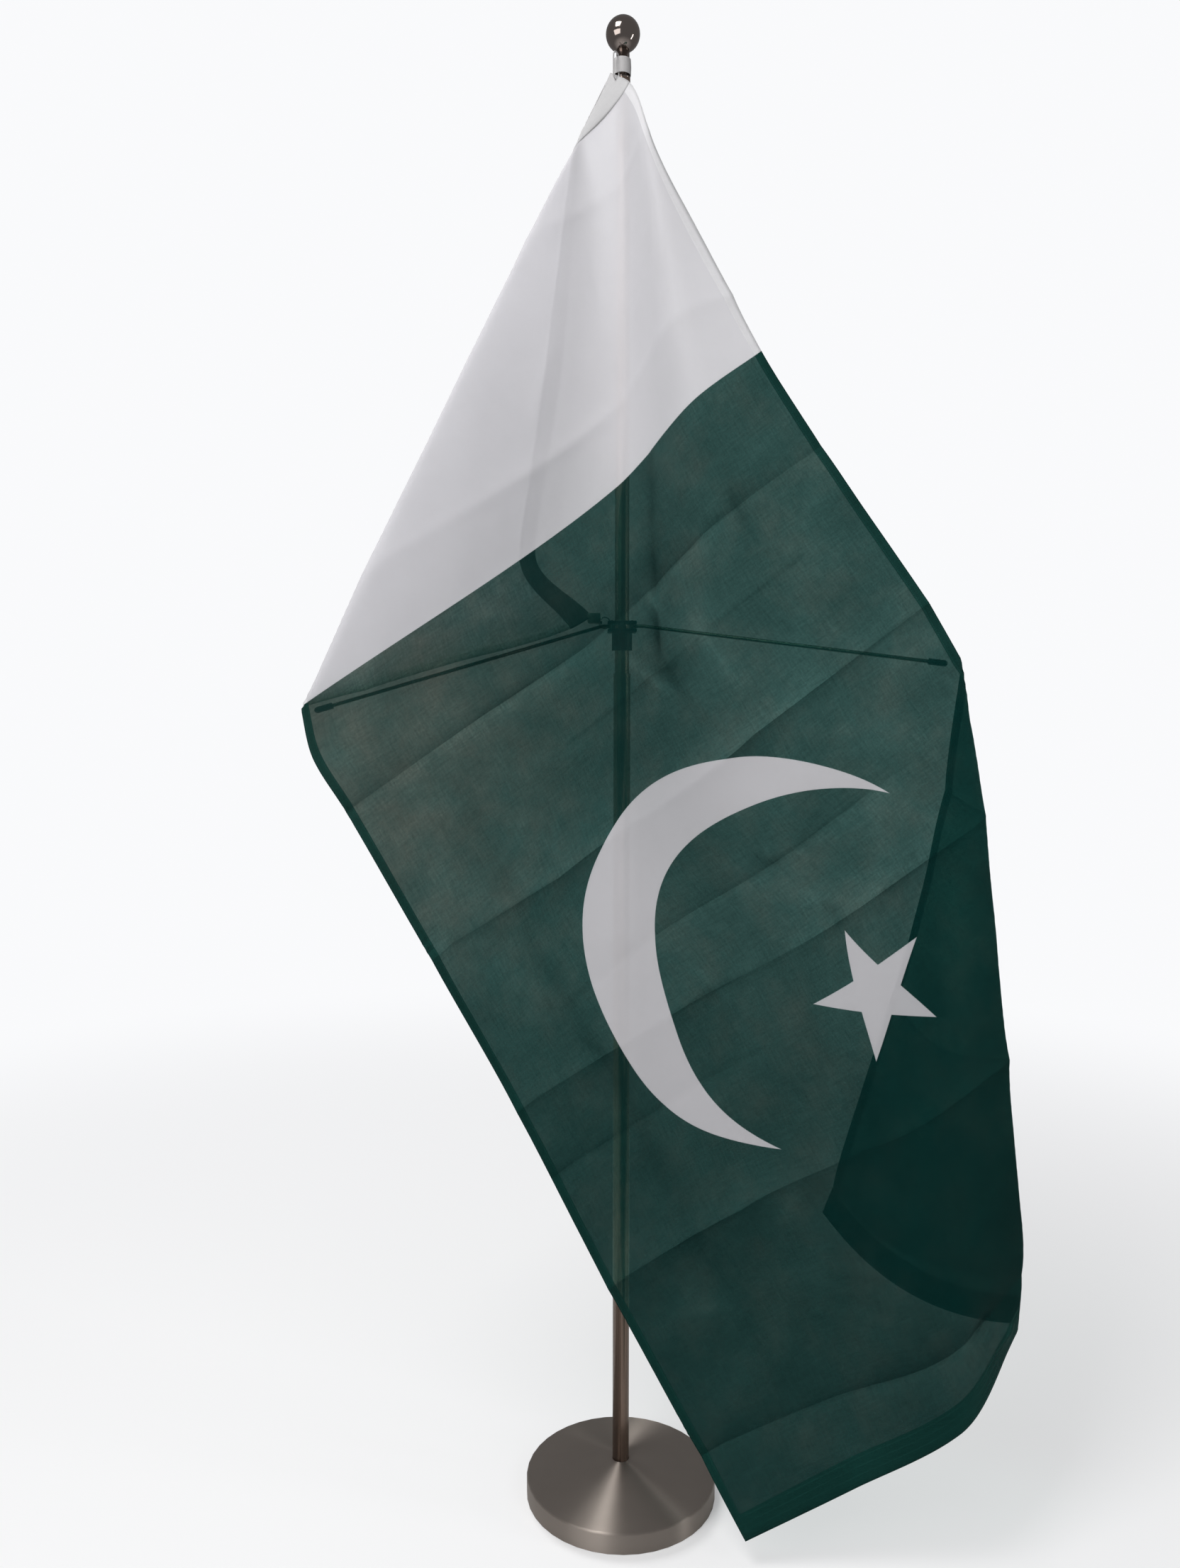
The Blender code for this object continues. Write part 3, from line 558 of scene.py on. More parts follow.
def pinch_height(u, v):
    """How far the short creases and pinches lift the cloth."""
    height = np.zeros_like(u)
    for pinch in PINCHES:
        run_u, run_v = pinch.to_u - pinch.u, pinch.to_v - pinch.v
        length = math.hypot(run_u, run_v)
        along_it = ((u - pinch.u) * run_u + (v - pinch.v) * run_v) / length
        off_it = ((u - pinch.u) * run_v - (v - pinch.v) * run_u) / length
        past = np.maximum(np.maximum(-along_it, along_it - length), 0.0)
        share = np.clip(along_it / length, 0.0, 1.0)
        swell = PINCH_ENDS + (1 - PINCH_ENDS) * np.sin(math.pi * share)
        height += pinch.height * swell * np.exp(-np.hypot(off_it, past) / pinch.reach)
    return height


def calm_at_folds(us, v):
    """1 over the cloth and less along its two folds, which stay smooth."""
    rows = [section(u)[1] for u in us]
    right = np.array([row[0].v for row in rows])[:, None]
    left = np.array([row[-1].v for row in rows])[:, None]
    nearest = np.minimum(np.where(right > 0, np.abs(v - right), FOLD_CALM),
                         np.where(left < FLAG_WIDTH, np.abs(v - left), FOLD_CALM))
    return CALM_SHARE + (1 - CALM_SHARE) * np.clip(nearest / FOLD_CALM, 0.0, 1.0)


def wave_height(u, v):
    """Faint rumples that run all over the cloth, from a few crossing ridged waves."""
    chance = np.random.default_rng(WAVE_SEED)
    height = np.zeros_like(u)
    shortest, longest = WAVE_LENGTHS
    for _ in range(WAVES):
        length = shortest * (longest / shortest) ** chance.random()
        heading = chance.normal(*WAVE_HEADING)
        shift, bend_shift = chance.random(2) * 2 * math.pi
        where = (u * math.cos(heading) + v * math.sin(heading)) * 2 * math.pi / length
        side = (v * math.cos(heading) - u * math.sin(heading)) / (BEND_LENGTHS * length)
        phase = where + WAVE_BEND * np.sin(side + bend_shift) + shift
        patch = np.sin(side * PATCH_ACROSS + 2 * shift) + np.cos(where * PATCH_ALONG + bend_shift)
        ridge = np.clip(patch, 0, 1) * (1 - np.abs(np.sin(phase / 2)))
        height += WAVE_SLOPE * length / math.sqrt(WAVES) * ridge
    return height


def unselect():
    """Deselects everything, so that an operator acts on its own piece only."""
    for thing in bpy.context.view_layer.objects:
        thing.select_set(False)


def grid_sheet(name, start, end, cells):
    """A flat grid, the distances u of its columns, and each point's column and row."""
    unselect()
    bpy.ops.mesh.primitive_grid_add(
        x_subdivisions=cells[0], y_subdivisions=cells[1], size=1, calc_uvs=True
    )
    sheet = bpy.context.object
    sheet.name = sheet.data.name = name
    flat = np.zeros(len(sheet.data.vertices) * 3)
    sheet.data.vertices.foreach_get("co", flat)
    flat = flat.reshape(-1, 3) + 0.5
    column = np.rint(flat[:, 0] * cells[0]).astype(int)
    row = np.rint(flat[:, 1] * cells[1]).astype(int)
    return sheet, start + (end - start) * np.arange(cells[0] + 1) / cells[0], (column, row)


def hung_sheet(name, start, end, cells):
    """A sheet of the flag from one u to another, hung and creased along its own grid lines."""
    sheet, us, (column, row) = grid_sheet(name, start, end, cells)
    vs = FLAG_WIDTH * np.arange(cells[1] + 1) / cells[1]
    smooth = np.array([[list(p) for p in hang_section(u, vs)] for u in us])

    u, v = np.meshgrid(us, vs, indexing="ij")
    inner = [c for c in CREASES if start < min(c.line) and max(c.line) < end]
    if inner:
        near = [np.abs(us - c.line[2]).argmin() for c in inner]
        columns = [0] + near + [len(us) - 1]
        for j, at in enumerate(vs):
            lines = [crease_line(c, at) for c in inner]
            u[:, j] = np.interp(np.arange(len(us)), columns, [start] + lines + [end])
    places = np.stack(
        [np.stack([np.interp(u[:, j], us, smooth[:, j, k]) for k in range(3)], axis=1)
         for j in range(len(vs))], axis=1,
    )
    lift = (crease_height(u, v) + pinch_height(u, v)) * calm_at_folds(us, v) + wave_height(u, v)
    places += normals_of(places) * lift[..., None]
    sheet.data.vertices.foreach_set("co", places[column, row].ravel())
    # painted shade: a thin darker line along each crease
    crease_line_shade = sheet.data.attributes.new("crease_line_shade", "FLOAT", "POINT")
    crease_line_shade.data.foreach_set("value", painted_crease_line(u, v)[column, row])

    corners = np.zeros(len(sheet.data.loops), dtype=int)
    sheet.data.loops.foreach_get("vertex_index", corners)
    corner_u, corner_v = u[column, row][corners], v[column, row][corners]
    flat = np.stack([(corner_u - start) / (end - start), corner_v / FLAG_WIDTH], axis=1)
    sheet.data.uv_layers[0].data.foreach_set("uv", flat.ravel())
    face_u, face_v = (np.repeat(at.reshape(-1, 4).mean(axis=1), 4) for at in (corner_u, corner_v))
    # painted light and shade beside the creases, pinches and rumples: lighter on raised cloth,
    # darker on sunk cloth
    painted_light_and_shade = sheet.data.attributes.new("painted_light_and_shade", "FLOAT", "CORNER")
    light_and_shade = painted_crease_shade(corner_u, corner_v, face_u, face_v)
    light_and_shade += pinch_height(corner_u, corner_v) / DEEPEST_PINCH
    light_and_shade += (wave_height(corner_u, corner_v) - RUMPLE_MEAN) * RUMPLE_PAINTED_SHADE
    painted_light_and_shade.data.foreach_set("value", light_and_shade)
    sheet.data.update()
    return sheet


def thicken(sheet, thickness):
    """Gives a sheet its thickness, half to either side."""
    unselect()
    bpy.context.view_layer.objects.active = sheet
    sheet.select_set(True)
    shell = sheet.modifiers.new("thickness", "SOLIDIFY")
    shell.thickness = thickness
    shell.offset = 0.0
    bpy.ops.object.modifier_apply(modifier=shell.name)
    bpy.ops.object.shade_smooth()


# Materials

def new_group(name, inputs, outputs):
    """An empty shader group with named value or vector inputs and value outputs."""
    group = bpy.data.node_groups.new(name, "ShaderNodeTree")
    for label, kind, default in inputs:
        socket = group.interface.new_socket(label, in_out="INPUT", socket_type=kind)
        if default is not None:
            socket.default_value = default
    for label, kind in outputs:
        group.interface.new_socket(label, in_out="OUTPUT", socket_type=kind)
    return group, group.nodes.new("NodeGroupInput"), group.nodes.new("NodeGroupOutput")


class Sums:
    """Writes a node tree's sums, mixes and textures as plain calls."""

    def __init__(self, tree):
        self.tree = tree

    def put(self, socket, value):
        """Sets a socket to a number or links another node's output to it."""
        if isinstance(value, bpy.types.NodeSocket):
            self.tree.links.new(value, socket)
        else:
            socket.default_value = value

    def math(self, operation, *values, clamp=False):
        node = self.tree.nodes.new("ShaderNodeMath")
        node.operation = operation
        node.use_clamp = clamp
        for socket, value in zip(node.inputs, values):
            self.put(socket, value)
        return node.outputs[0]

    def vector(self, operation, *values):
        node = self.tree.nodes.new("ShaderNodeVectorMath")
        node.operation = operation
        for socket, value in zip(node.inputs, values):
            self.put(socket, value)
        return node.outputs["Value" if operation in ("LENGTH", "DISTANCE", "DOT_PRODUCT") else 0]

    def scaled(self, vector, factor):
        """A vector or colour times a value."""
        product = self.vector("SCALE", vector)
        self.put(product.node.inputs["Scale"], factor)
        return product

    def split(self, vector):
        node = self.tree.nodes.new("ShaderNodeSeparateXYZ")
        self.put(node.inputs[0], vector)
        return node.outputs[0], node.outputs[1]

    def below(self, value, limit, blur):
        """1 where the value is under the limit and 0 over it, with a soft step of width blur."""
        step = self.tree.nodes.new("ShaderNodeMapRange")
        step.interpolation_type = "SMOOTHSTEP"
        self.put(step.inputs["Value"], value)
        step.inputs["From Min"].default_value = limit - blur / 2
        step.inputs["From Max"].default_value = limit + blur / 2
        step.inputs["To Min"].default_value = 1.0
        step.inputs["To Max"].default_value = 0.0
        return step.outputs[0]

    def mix(self, factor, first, second):
        node = self.tree.nodes.new("ShaderNodeMix")
        node.data_type = "RGBA"
        self.put(node.inputs[0], factor)
        self.put(node.inputs[6], first)
        self.put(node.inputs[7], second)
        return node.outputs[2]

    def noise(self, vector, scale, detail=2.0, roughness=0.5):
        node = self.tree.nodes.new("ShaderNodeTexNoise")
        self.put(node.inputs["Vector"], vector)
        node.inputs["Scale"].default_value = scale
        node.inputs["Detail"].default_value = detail
        node.inputs["Roughness"].default_value = roughness
        return node.outputs[0]

    def bump(self, height, strength, distance):
        node = self.tree.nodes.new("ShaderNodeBump")
        node.inputs["Strength"].default_value = strength
        node.inputs["Distance"].default_value = distance
        self.put(node.inputs["Height"], height)
        return node.outputs[0]

    def through_cloth(self):
        """1 where a camera ray has passed through cloth, and 0 elsewhere."""
        path = self.tree.nodes.new("ShaderNodeLightPath")
        return self.math("MINIMUM", path.outputs["Transparent Depth"], 1.0)

    def blend(self, share, under, over):
        """One surface over another, by its share."""
        node = self.tree.nodes.new("ShaderNodeMixShader")
        self.put(node.inputs[0], share)
        self.put(node.inputs[1], under)
        self.put(node.inputs[2], over)
        return node.outputs[0]


def emblem_group():
    """The white crescent and star as a mask over the flat cloth."""
    group, given, out = new_group(
        "crescent and star", [("Flat place", "NodeSocketVector", None)],
        [("White", "NodeSocketFloat")],
    )
    sums = Sums(group)
    flat = given.outputs["Flat place"]
    from_disc = sums.vector("DISTANCE", flat, (*CRESCENT_AT, 0))
    disc = sums.below(from_disc, CRESCENT_R, EMBLEM_EDGE)
    from_hollow = sums.vector("DISTANCE", flat, (*HOLLOW_AT, 0))
    hollow = sums.below(from_hollow, HOLLOW_R, EMBLEM_EDGE)
    crescent = sums.math("MULTIPLY", disc, sums.math("SUBTRACT", 1.0, hollow))

    from_star = sums.vector("SUBTRACT", flat, (*STAR_AT, 0))
    x, y = sums.split(from_star)
    lead = math.atan2(-CRESCENT_AT[1], FLAG_LENGTH - CRESCENT_AT[0])
    turn = sums.math("SUBTRACT", sums.math("ARCTAN2", y, x), lead)
    folded = sums.math("PINGPONG", turn, math.pi / 5)
    radius = sums.vector("LENGTH", from_star)
    along_ray = sums.math("MULTIPLY", radius, sums.math("COSINE", folded))
    off_ray = sums.math("MULTIPLY", radius, sums.math("SINE", folded))
    slant = math.radians(18)
    outside = sums.math(
        "ADD",
        sums.math("MULTIPLY", sums.math("SUBTRACT", along_ray, STAR_R), math.sin(slant)),
        sums.math("MULTIPLY", off_ray, math.cos(slant)),
    )
    star = sums.below(outside, 0.0, EMBLEM_EDGE)
    group.links.new(sums.math("MAXIMUM", crescent, star), out.inputs["White"])
    return group


def weave_group():
    """Plain weave: how the threads lift the surface and how even their tone is."""
    group, given, out = new_group(
        "plain weave",
        [("Flat place", "NodeSocketVector", None),
         ("Threads per metre", "NodeSocketFloat", CLOTH_THREADS)],
        [("Height", "NodeSocketFloat"), ("Tone", "NodeSocketFloat")],
    )
    sums = Sums(group)
    flat = given.outputs["Flat place"]
    x, y = sums.split(sums.scaled(flat, given.outputs["Threads per metre"]))
    warp = sums.math("ABSOLUTE", sums.math("SINE", sums.math("MULTIPLY", x, math.pi)))
    weft = sums.math("ABSOLUTE", sums.math("SINE", sums.math("MULTIPLY", y, math.pi)))
    group.links.new(sums.math("MAXIMUM", warp, weft), out.inputs["Height"])
    tone = 0.0
    for grain in GRAINS:
        place = sums.vector("MULTIPLY", flat, grain.stretch)
        layer = sums.noise(place, grain.scale, grain.detail, grain.roughness)
        tone = sums.math("MULTIPLY_ADD", layer, grain.share, tone)
    group.links.new(tone, out.inputs["Tone"])
    return group


def stitches_group():
    """Rows of stitches side by side, as a mask. Across is the distance from the first row."""
    group, given, out = new_group(
        "stitches",
        [("Across", "NodeSocketFloat", 0.0), ("Along", "NodeSocketFloat", 0.0),
         ("Row spacing", "NodeSocketFloat", SIDE_ROWS[1]),
         ("Stitch length", "NodeSocketFloat", STITCH_LENGTH)],
        [("Thread", "NodeSocketFloat")],
    )
    sums = Sums(group)
    across, along_row = given.outputs["Across"], given.outputs["Along"]
    spacing, length = given.outputs["Row spacing"], given.outputs["Stitch length"]
    from_row = sums.math("PINGPONG", across, sums.math("MULTIPLY", spacing, 0.5))
    thread = sums.below(from_row, THREAD_HALF, THREAD_BLUR)
    share = sums.math("FRACT", sums.math("DIVIDE", along_row, length))
    from_middle = sums.math("ABSOLUTE", sums.math("SUBTRACT", share, 0.5))
    stitch = sums.below(from_middle, STITCH_HALF, STITCH_BLUR)
    group.links.new(sums.math("MULTIPLY", thread, stitch), out.inputs["Thread"])
    return group


def new_material(name):
    """A material, its node tree, the means to write sums in it, and its shader."""
    material = bpy.data.materials.new(name)
    material.use_nodes = True
    tree = material.node_tree
    return material, tree, Sums(tree), tree.nodes["Principled BSDF"]


def flat_place(material, start, end):
    """The piece's own UV map turned into metres on the flat cloth."""
    nodes, links = material.node_tree.nodes, material.node_tree.links
    coords = nodes.new("ShaderNodeTexCoord")
    to_metres = nodes.new("ShaderNodeMapping")
    to_metres.inputs["Location"].default_value = (start, 0.0, 0.0)
    to_metres.inputs["Scale"].default_value = (end - start, FLAG_WIDTH, 1.0)
    links.new(coords.outputs["UV"], to_metres.inputs["Vector"])
    return to_metres.outputs[0]


def use_group(material, group, **values):
    """A shared group in a material, its inputs set by name with _ for a space."""
    node = material.node_tree.nodes.new("ShaderNodeGroup")
    node.node_tree = group
    sums = Sums(material.node_tree)
    for label, value in values.items():
        sums.put(node.inputs[label.replace("_", " ")], value)
    return node


def stitched(material, stitches, from_edge, along_row, rows):
    """The mask of the rows of stitches that run beside an edge."""
    first, spacing = rows
    across = Sums(material.node_tree).math("SUBTRACT", from_edge, first)
    node = use_group(material, stitches, Across=across, Along=along_row, Row_spacing=spacing)
    return node.outputs[0]


def cloth_material(emblem, weave, stitches):
    """Thin dyed cloth that lets some of what is behind it through."""
    material, tree, sums, shader = new_material("dyed cloth")
    flat = flat_place(material, CLOTH_START, FLAG_LENGTH)
    u, v = sums.split(flat)
    threads = use_group(material, weave, Flat_place=flat)

    # masks of the white parts, the hems and their stitches
    band = sums.below(u, BAND_LENGTH, EDGE_BLUR)
    white = sums.math("MAXIMUM", band, use_group(material, emblem, Flat_place=flat).outputs[0])
    green_share = sums.math("SUBTRACT", 1.0, white)
    from_side = sums.math("MINIMUM", v, sums.math("SUBTRACT", FLAG_WIDTH, v))
    from_fly = sums.math("SUBTRACT", FLAG_LENGTH, u)
    side_hem = sums.below(from_side, SIDE_HEM, EDGE_BLUR)
    fly_hem = sums.below(from_fly, FLY_HEM, EDGE_BLUR)
    hem = sums.math("MAXIMUM", side_hem, fly_hem)
    side_thread = stitched(material, stitches, from_side, u, SIDE_ROWS)
    fly_thread = stitched(material, stitches, from_fly, v, FLY_ROWS)
    thread = sums.math(
        "MAXIMUM",
        sums.math("MULTIPLY", side_thread, side_hem),
        sums.math("MULTIPLY", fly_thread, fly_hem),
    )

    # tone of the weave, with a painted dark line of shade along each crease and painted light and
    # shade beside the creases, pinches and rumples
    crease_line_shade, painted_light_and_shade = (tree.nodes.new("ShaderNodeAttribute") for _ in range(2))
    crease_line_shade.attribute_name, painted_light_and_shade.attribute_name = "crease_line_shade", "painted_light_and_shade"
    contrast = sums.math("MULTIPLY_ADD", green_share, WEAVE_CONTRAST_GREEN, WEAVE_CONTRAST)
    off_mean = sums.math("SUBTRACT", threads.outputs["Tone"], 0.5)
    tone = sums.math("MULTIPLY_ADD", off_mean, contrast, 1.0)
    # painted shade: a thin darker line along each crease, on the green only
    crease_line_shade_on_green = sums.math("MULTIPLY", crease_line_shade.outputs["Fac"], green_share)
    tone = sums.math("MULTIPLY_ADD", crease_line_shade_on_green, CREASE_LINE_SHADE_TONE, tone)
    # painted light and shade from the creases, pinches and rumples
    light_and_shade_tone = sums.math("MULTIPLY_ADD", green_share, PAINTED_SHADE_TONE_GREEN, PAINTED_SHADE_TONE)
    light_and_shade = sums.math("MULTIPLY_ADD", painted_light_and_shade.outputs["Fac"], light_and_shade_tone, 1.0)
    tone = sums.math("MULTIPLY", tone, light_and_shade)

    # dye, faded in random patches, and paled by a painted sheen patch near the bottom edge beside
    # the white band
    patches = sums.noise(flat, PATCHINESS, 4.0, 0.6)
    patchy = sums.math("MULTIPLY_ADD", patches, PATCHINESS_CONTRAST, PATCHINESS_OFFSET)
    from_patch = sums.vector("DISTANCE", flat, SHEEN_PATCH.middle)
    faded_and_sheen = sums.below(from_patch, SHEEN_PATCH.radius, SHEEN_PATCH.blur)
    faded_and_sheen = sums.math("MULTIPLY_ADD", faded_and_sheen, SHEEN_PATCH_SHARE, patchy, clamp=True)
    dyed = sums.mix(sums.math("MULTIPLY", faded_and_sheen, FADED_AND_SHEEN_DYE), GREEN, FADED_AND_SHEEN)
    green = sums.mix(thread, sums.mix(hem, dyed, GREEN_HEM), GREEN_THREAD)
    pale = sums.mix(band, EMBLEM_WHITE, sums.mix(hem, WHITE, WHITE_HEM))
    colour = sums.mix(white, green, pale)
    sums.put(shader.inputs["Base Color"], sums.scaled(colour, tone))
    shader.inputs["Roughness"].default_value = 0.58
    shader.inputs["Specular IOR Level"].default_value = 0.06
    lift = sums.math("MULTIPLY_ADD", threads.outputs["Height"], 0.15, thread)
    bump = sums.bump(lift, strength=0.25, distance=0.0004)
    sums.put(shader.inputs["Normal"], bump)

    # light that glows through, and what is seen through
    glow = tree.nodes.new("ShaderNodeBsdfTranslucent")
    sums.put(glow.inputs["Color"], sums.mix(white, GREEN_GLOW, WHITE_GLOW))
    glow_share = sums.math("MULTIPLY_ADD", hem, GLOW_AT_HEM, GLOW)
    clear = tree.nodes.new("ShaderNodeBsdfTransparent")
    green_tint = sums.mix(faded_and_sheen, GREEN_TINT, FADED_AND_SHEEN_TINT)
    sums.put(clear.inputs["Color"], sums.mix(white, green_tint, WHITE_TINT))
    # painted shade: less see-through in a patch in the middle of the green
    from_patch = sums.vector("DISTANCE", flat, SHADE_PATCH.middle)
    shade_patch = sums.below(from_patch, SHADE_PATCH.radius, SHADE_PATCH.blur)
    openness = sums.math("MULTIPLY_ADD", shade_patch, CLEAR_WHERE_SHADED, CLEAR)
    openness = sums.math("MULTIPLY", openness, tone)
    changes = ((faded_and_sheen, CLEAR_WHERE_FADED_AND_SHEEN), (white, CLEAR_WHERE_WHITE), (hem, CLEAR_AT_HEM))
    for mask, change in changes:
        openness = sums.math("MULTIPLY", openness, sums.math("MULTIPLY_ADD", mask, change, 1.0))
    surface = sums.blend(glow_share, shader.outputs[0], glow.outputs[0])
    surface = sums.blend(openness, surface, clear.outputs[0])
    sums.put(tree.nodes["Material Output"].inputs["Surface"], surface)
    return material


def canvas_material(weave):
    """White canvas of the heading, with painted shade that makes it darker where it is seen
    through the cloth.
    """
    material, _, sums, shader = new_material("heading canvas")
    flat = flat_place(material, 0.0, HEADING_WIDTH)
    threads = use_group(material, weave, Flat_place=flat, Threads_per_metre=CANVAS_THREADS)
    tone = sums.math("MULTIPLY_ADD", threads.outputs["Tone"], 0.3, 0.85)
    # painted shade where the heading is seen through the cloth
    darker = sums.math("MULTIPLY_ADD", sums.through_cloth(), HEADING_SHADE_BEHIND_CLOTH, 1.0)
    tone = sums.math("MULTIPLY", tone, darker)
    sums.put(shader.inputs["Base Color"], sums.scaled(CANVAS, tone))
    shader.inputs["Roughness"].default_value = 0.85
    bump = sums.bump(threads.outputs["Height"], strength=0.3, distance=0.0005)
    sums.put(shader.inputs["Normal"], bump)
    return material


def blotched(sums, colour, scale, detail, shares):
    """A noise, and the colour that it mixes from a darker and a paler share of the given one."""
    coords = sums.tree.nodes.new("ShaderNodeTexCoord")
    blotch = sums.noise(coords.outputs["Object"], scale, detail)
    darker, paler = (tuple(share * c for c in colour) + (1,) for share in shares)
    return blotch, sums.mix(blotch, darker, paler)


def metal_material(name, colour, roughness, metallic=1.0, anisotropy=0.0, painted_light_behind_cloth=0.0):
    """Slightly uneven metal. Its brush marks, if any, run around it. The gain is painted light:
    how much brighter its colour is made where it is seen through the cloth."""
    material, tree, sums, shader = new_material(name)
    blotch, shade = blotched(sums, colour, scale=14.0, detail=4.0, shares=(0.85, 1.1))
    if painted_light_behind_cloth:
        # painted light where the metal is seen through the cloth
        painted_gain = sums.math("MULTIPLY_ADD", sums.through_cloth(), painted_light_behind_cloth, 1.0)
        shade = sums.scaled(shade, painted_gain)
    sums.put(shader.inputs["Base Color"], shade)
    least = roughness - METAL_UNEVEN / 2
    uneven_roughness = sums.math("MULTIPLY_ADD", blotch, METAL_UNEVEN, least)
    sums.put(shader.inputs["Roughness"], uneven_roughness)
    shader.inputs["Metallic"].default_value = metallic
    if anisotropy:
        shader.inputs["Anisotropic"].default_value = anisotropy
        shader.inputs["Anisotropic Rotation"].default_value = QUARTER_TURN
        tangent = tree.nodes.new("ShaderNodeTangent")
        tangent.direction_type = "RADIAL"
        tangent.axis = "Z"
        sums.put(shader.inputs["Tangent"], tangent.outputs[0])
    return material


def plastic_material(name, colour, roughness):
    """Slightly uneven plastic or webbing."""
    material, _, sums, shader = new_material(name)
    _, shade = blotched(sums, colour, scale=60.0, detail=3.0, shares=(0.8, 1.2))
    sums.put(shader.inputs["Base Color"], shade)
    shader.inputs["Roughness"].default_value = roughness
    return material


def smooth_copy(node):
    """A merged copy of a round solid, shaded without its facets, which stands in for it."""
    unselect()
    mesh = node.data.copy()
    mesh.transform(node.matrix_world)
    piece = bpy.data.objects.new(node.name + "_smooth", mesh)
    bpy.context.scene.collection.objects.link(piece)
    piece.select_set(True)
    bpy.context.view_layer.objects.active = piece
    bpy.ops.object.mode_set(mode="EDIT")
    bpy.ops.mesh.select_all(action="SELECT")
    bpy.ops.mesh.remove_doubles(threshold=MERGE_WITHIN)
    bpy.ops.object.mode_set(mode="OBJECT")
    bpy.ops.object.shade_smooth_by_angle(angle=math.radians(SMOOTH_UNDER))
    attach(piece, "root")
    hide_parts(node.name)
    return piece


def finish_with(piece, material):
    """Gives the whole piece one material."""
    piece.data.materials.clear()
    piece.data.materials.append(material)


# Studio

def make_camera():
    """The photograph's camera."""
    data = bpy.data.cameras.new("camera")
    data.sensor_fit = "VERTICAL"
    data.sensor_height = SENSOR_HEIGHT
    data.lens = data.sensor_height * FOCAL / FRAME_HEIGHT
    data.clip_start = 0.05
    camera = bpy.data.objects.new("camera", data)
    camera.location = CAMERA_AT
    camera.rotation_euler = (math.radians(90 - CAMERA_PITCH), 0, 0)
    bpy.context.scene.collection.objects.link(camera)
    bpy.context.scene.camera = camera


def add_lamp(lamp):
    """A soft rectangular light, turned towards the flag."""
    data = bpy.data.lights.new(lamp.name, "AREA")
    data.shape = "RECTANGLE"
    data.size, data.size_y = lamp.size
    data.energy = lamp.power
    light = bpy.data.objects.new(lamp.name, data)
    light.location = lamp.place
    light.visible_glossy = lamp.reflected
    aim = Vector(LIGHTS_AIM) - Vector(lamp.place)
    light.rotation_euler = aim.to_track_quat("-Z", "Y").to_euler()
    bpy.context.scene.collection.objects.link(light)


def room_strength(sums):
    """The room's brightness, bright where it is seen, but dim through the cloth and as a light,
    and a mask of where it is seen through the cloth."""
    path = sums.tree.nodes.new("ShaderNodeLightPath")
    through_cloth = sums.through_cloth()
    seen = sums.math(
        "MULTIPLY_ADD", through_cloth, ROOM_BEHIND_CLOTH - ROOM_SEEN, ROOM_SEEN - ROOM_LIGHT
    )
    strength = sums.math("MULTIPLY_ADD", path.outputs["Is Camera Ray"], seen, ROOM_LIGHT)
    return strength, sums.math("MULTIPLY", through_cloth, path.outputs["Is Camera Ray"])


def floor_material():
    """Pale floor that fades into the bright room around it."""
    material, tree, sums, shader = new_material("floor")
    shader.inputs["Base Color"].default_value = (0.90, 0.90, 0.90, 1)
    shader.inputs["Roughness"].default_value = 0.9
    coords = tree.nodes.new("ShaderNodeTexCoord")
    away = sums.vector("LENGTH", coords.outputs["Object"])
    strength, through_cloth = room_strength(sums)
    dimmer = sums.math("MULTIPLY", through_cloth, sums.below(away, *FLOOR_DIMMED))
    dimmer = sums.math("MULTIPLY", dimmer, FLOOR_BEHIND_CLOTH)
    strength = sums.math("MULTIPLY", strength, sums.math("SUBTRACT", 1.0, dimmer))
    room = tree.nodes.new("ShaderNodeEmission")
    room.inputs["Color"].default_value = ROOM_COLOUR
    sums.put(room.inputs["Strength"], strength)
    near = sums.math("MULTIPLY", sums.below(away, *FLOOR_NEAR), FLOOR_SHARE)
    near = sums.math("MULTIPLY", near, sums.math("SUBTRACT", 1.0, through_cloth))
    surface = sums.blend(near, room.outputs[0], shader.outputs[0])
    sums.put(tree.nodes["Material Output"].inputs["Surface"], surface)
    return material


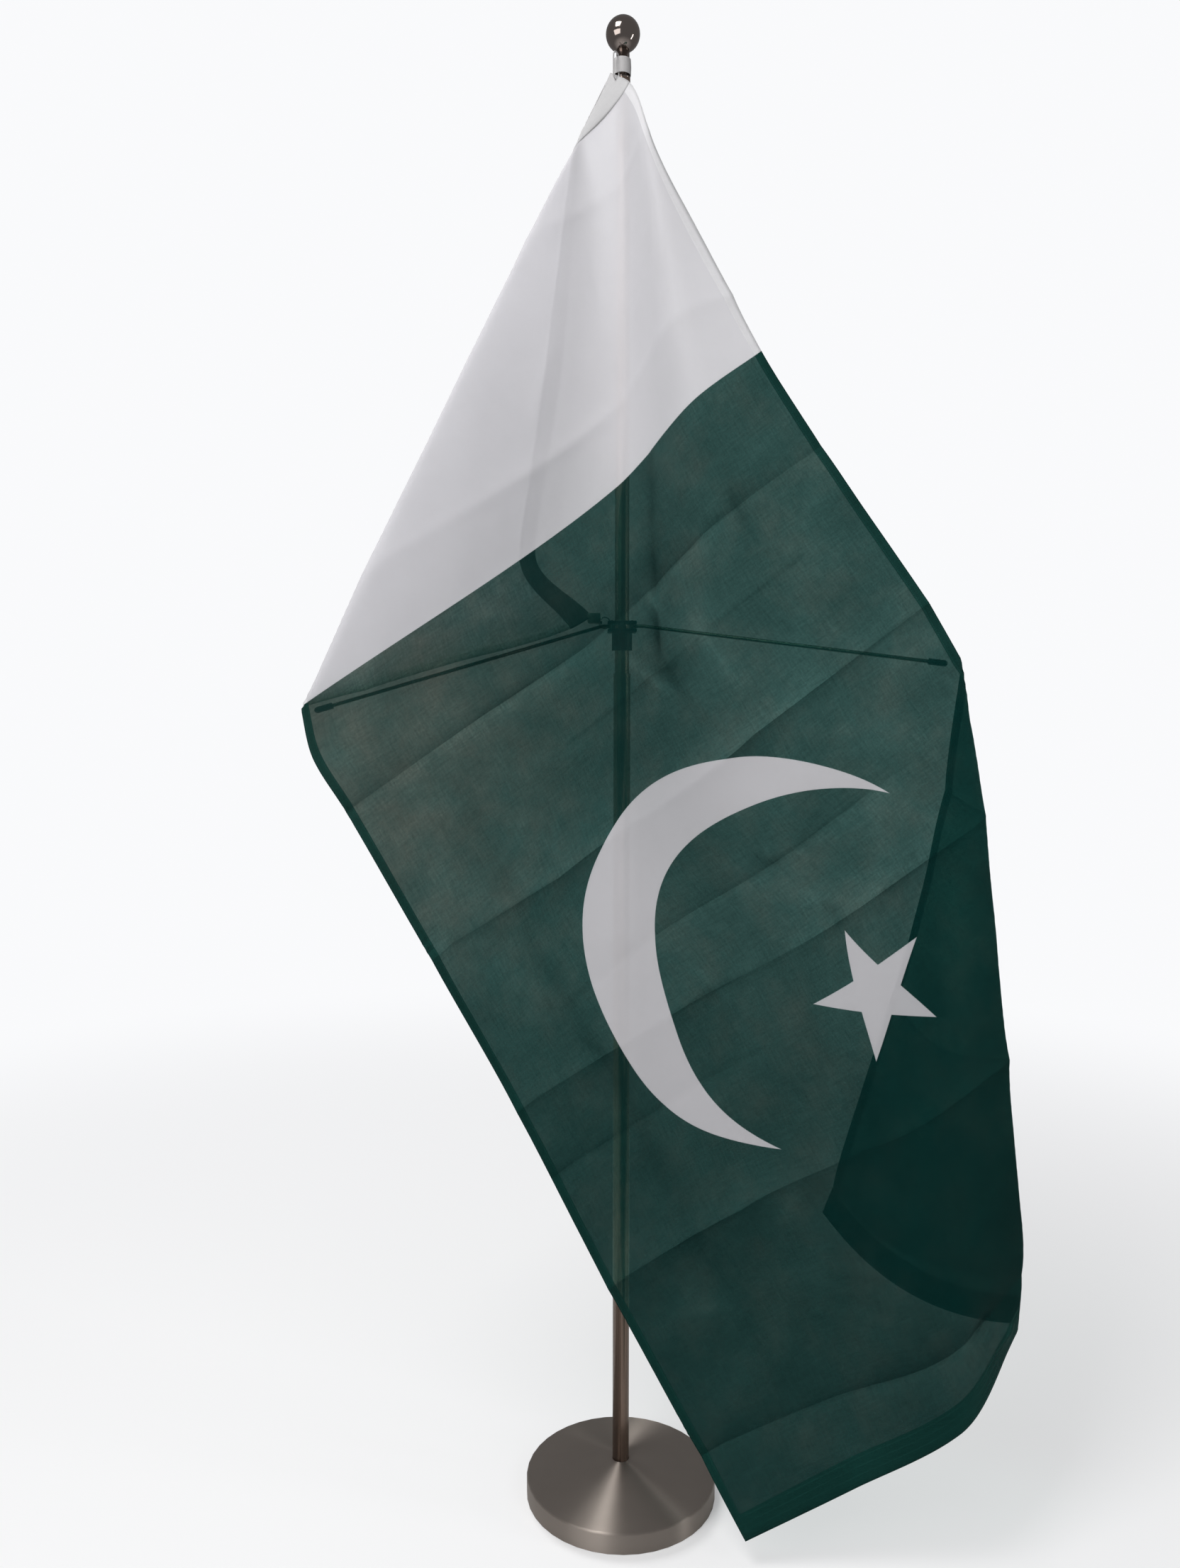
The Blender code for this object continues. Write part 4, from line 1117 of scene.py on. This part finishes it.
def make_studio():
    """A pale floor in a bright room with soft lights."""
    unselect()
    bpy.ops.mesh.primitive_plane_add(size=FLOOR_SIZE, location=(0, 0, -FLOOR_DROP))
    floor = bpy.context.object
    floor.name = "floor"
    floor.data.materials.append(floor_material())
    world = bpy.data.worlds.new("room")
    world.use_nodes = True
    background = world.node_tree.nodes["Background"]
    background.inputs[0].default_value = ROOM_COLOUR
    sums = Sums(world.node_tree)
    sums.put(background.inputs[1], room_strength(sums)[0])
    bpy.context.scene.world = world
    bpy.context.scene.view_settings.view_transform = "Standard"
    for lamp in LAMPS:
        add_lamp(lamp)


def main():
    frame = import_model()
    nodes = frame["nodes"]
    make_camera()
    make_studio()

    emblem, weave, stitches = emblem_group(), weave_group(), stitches_group()
    dyed = cloth_material(emblem, weave, stitches)
    canvas = canvas_material(weave)

    cloth = hung_sheet("flag", CLOTH_START, FLAG_LENGTH, CLOTH_CELLS)
    finish_with(cloth, dyed)
    thicken(cloth, CLOTH_THICK)
    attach(cloth, "root")
    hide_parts("flag_cloth")

    heading = hung_sheet("heading", 0.0, HEADING_WIDTH, HEADING_CELLS)
    finish_with(heading, canvas)
    thicken(heading, HEADING_THICK)
    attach(heading, "root")
    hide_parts("flag_heading")

    steel = metal_material("polished steel", STEEL, 0.22, metallic=0.7)
    pole_steel = metal_material(
        "pole steel", STEEL, 0.22, metallic=0.7, painted_light_behind_cloth=POLE_LIGHT_BEHIND_CLOTH
    )
    base_steel = metal_material("brushed base", BASE_STEEL, 0.46, metallic=0.9, anisotropy=0.95)
    chrome = metal_material("chrome", CHROME, 0.08)
    black = plastic_material("black plastic", BLACK, 0.42)
    webbing = plastic_material("pale webbing", WEBBING, 0.7)
    clear = plastic_material("clear plastic", CLEAR_PLASTIC, 0.25)
    round_finishes = {
        "base_plate": base_steel, "pole_lower": pole_steel, "pole_upper": pole_steel,
        "finial_neck": chrome, "finial_ball": chrome, "top_band": webbing, "top_link": webbing,
        "hub_body": black,
    }
    plain_finishes = {
        "hub_plate_lower": black, "hub_plate_upper": black, "hub_screw": steel, "hub_ring": chrome,
        "hub_clip": clear, "arm_left": steel, "arm_right": steel, "arm_pin_left": steel,
        "arm_pin_right": steel, "arm_cap_left": black, "arm_cap_right": black,
    }
    for name, material in round_finishes.items():
        finish_with(smooth_copy(nodes[name]), material)
    for name, material in plain_finishes.items():
        finish_with(nodes[name], material)


main()
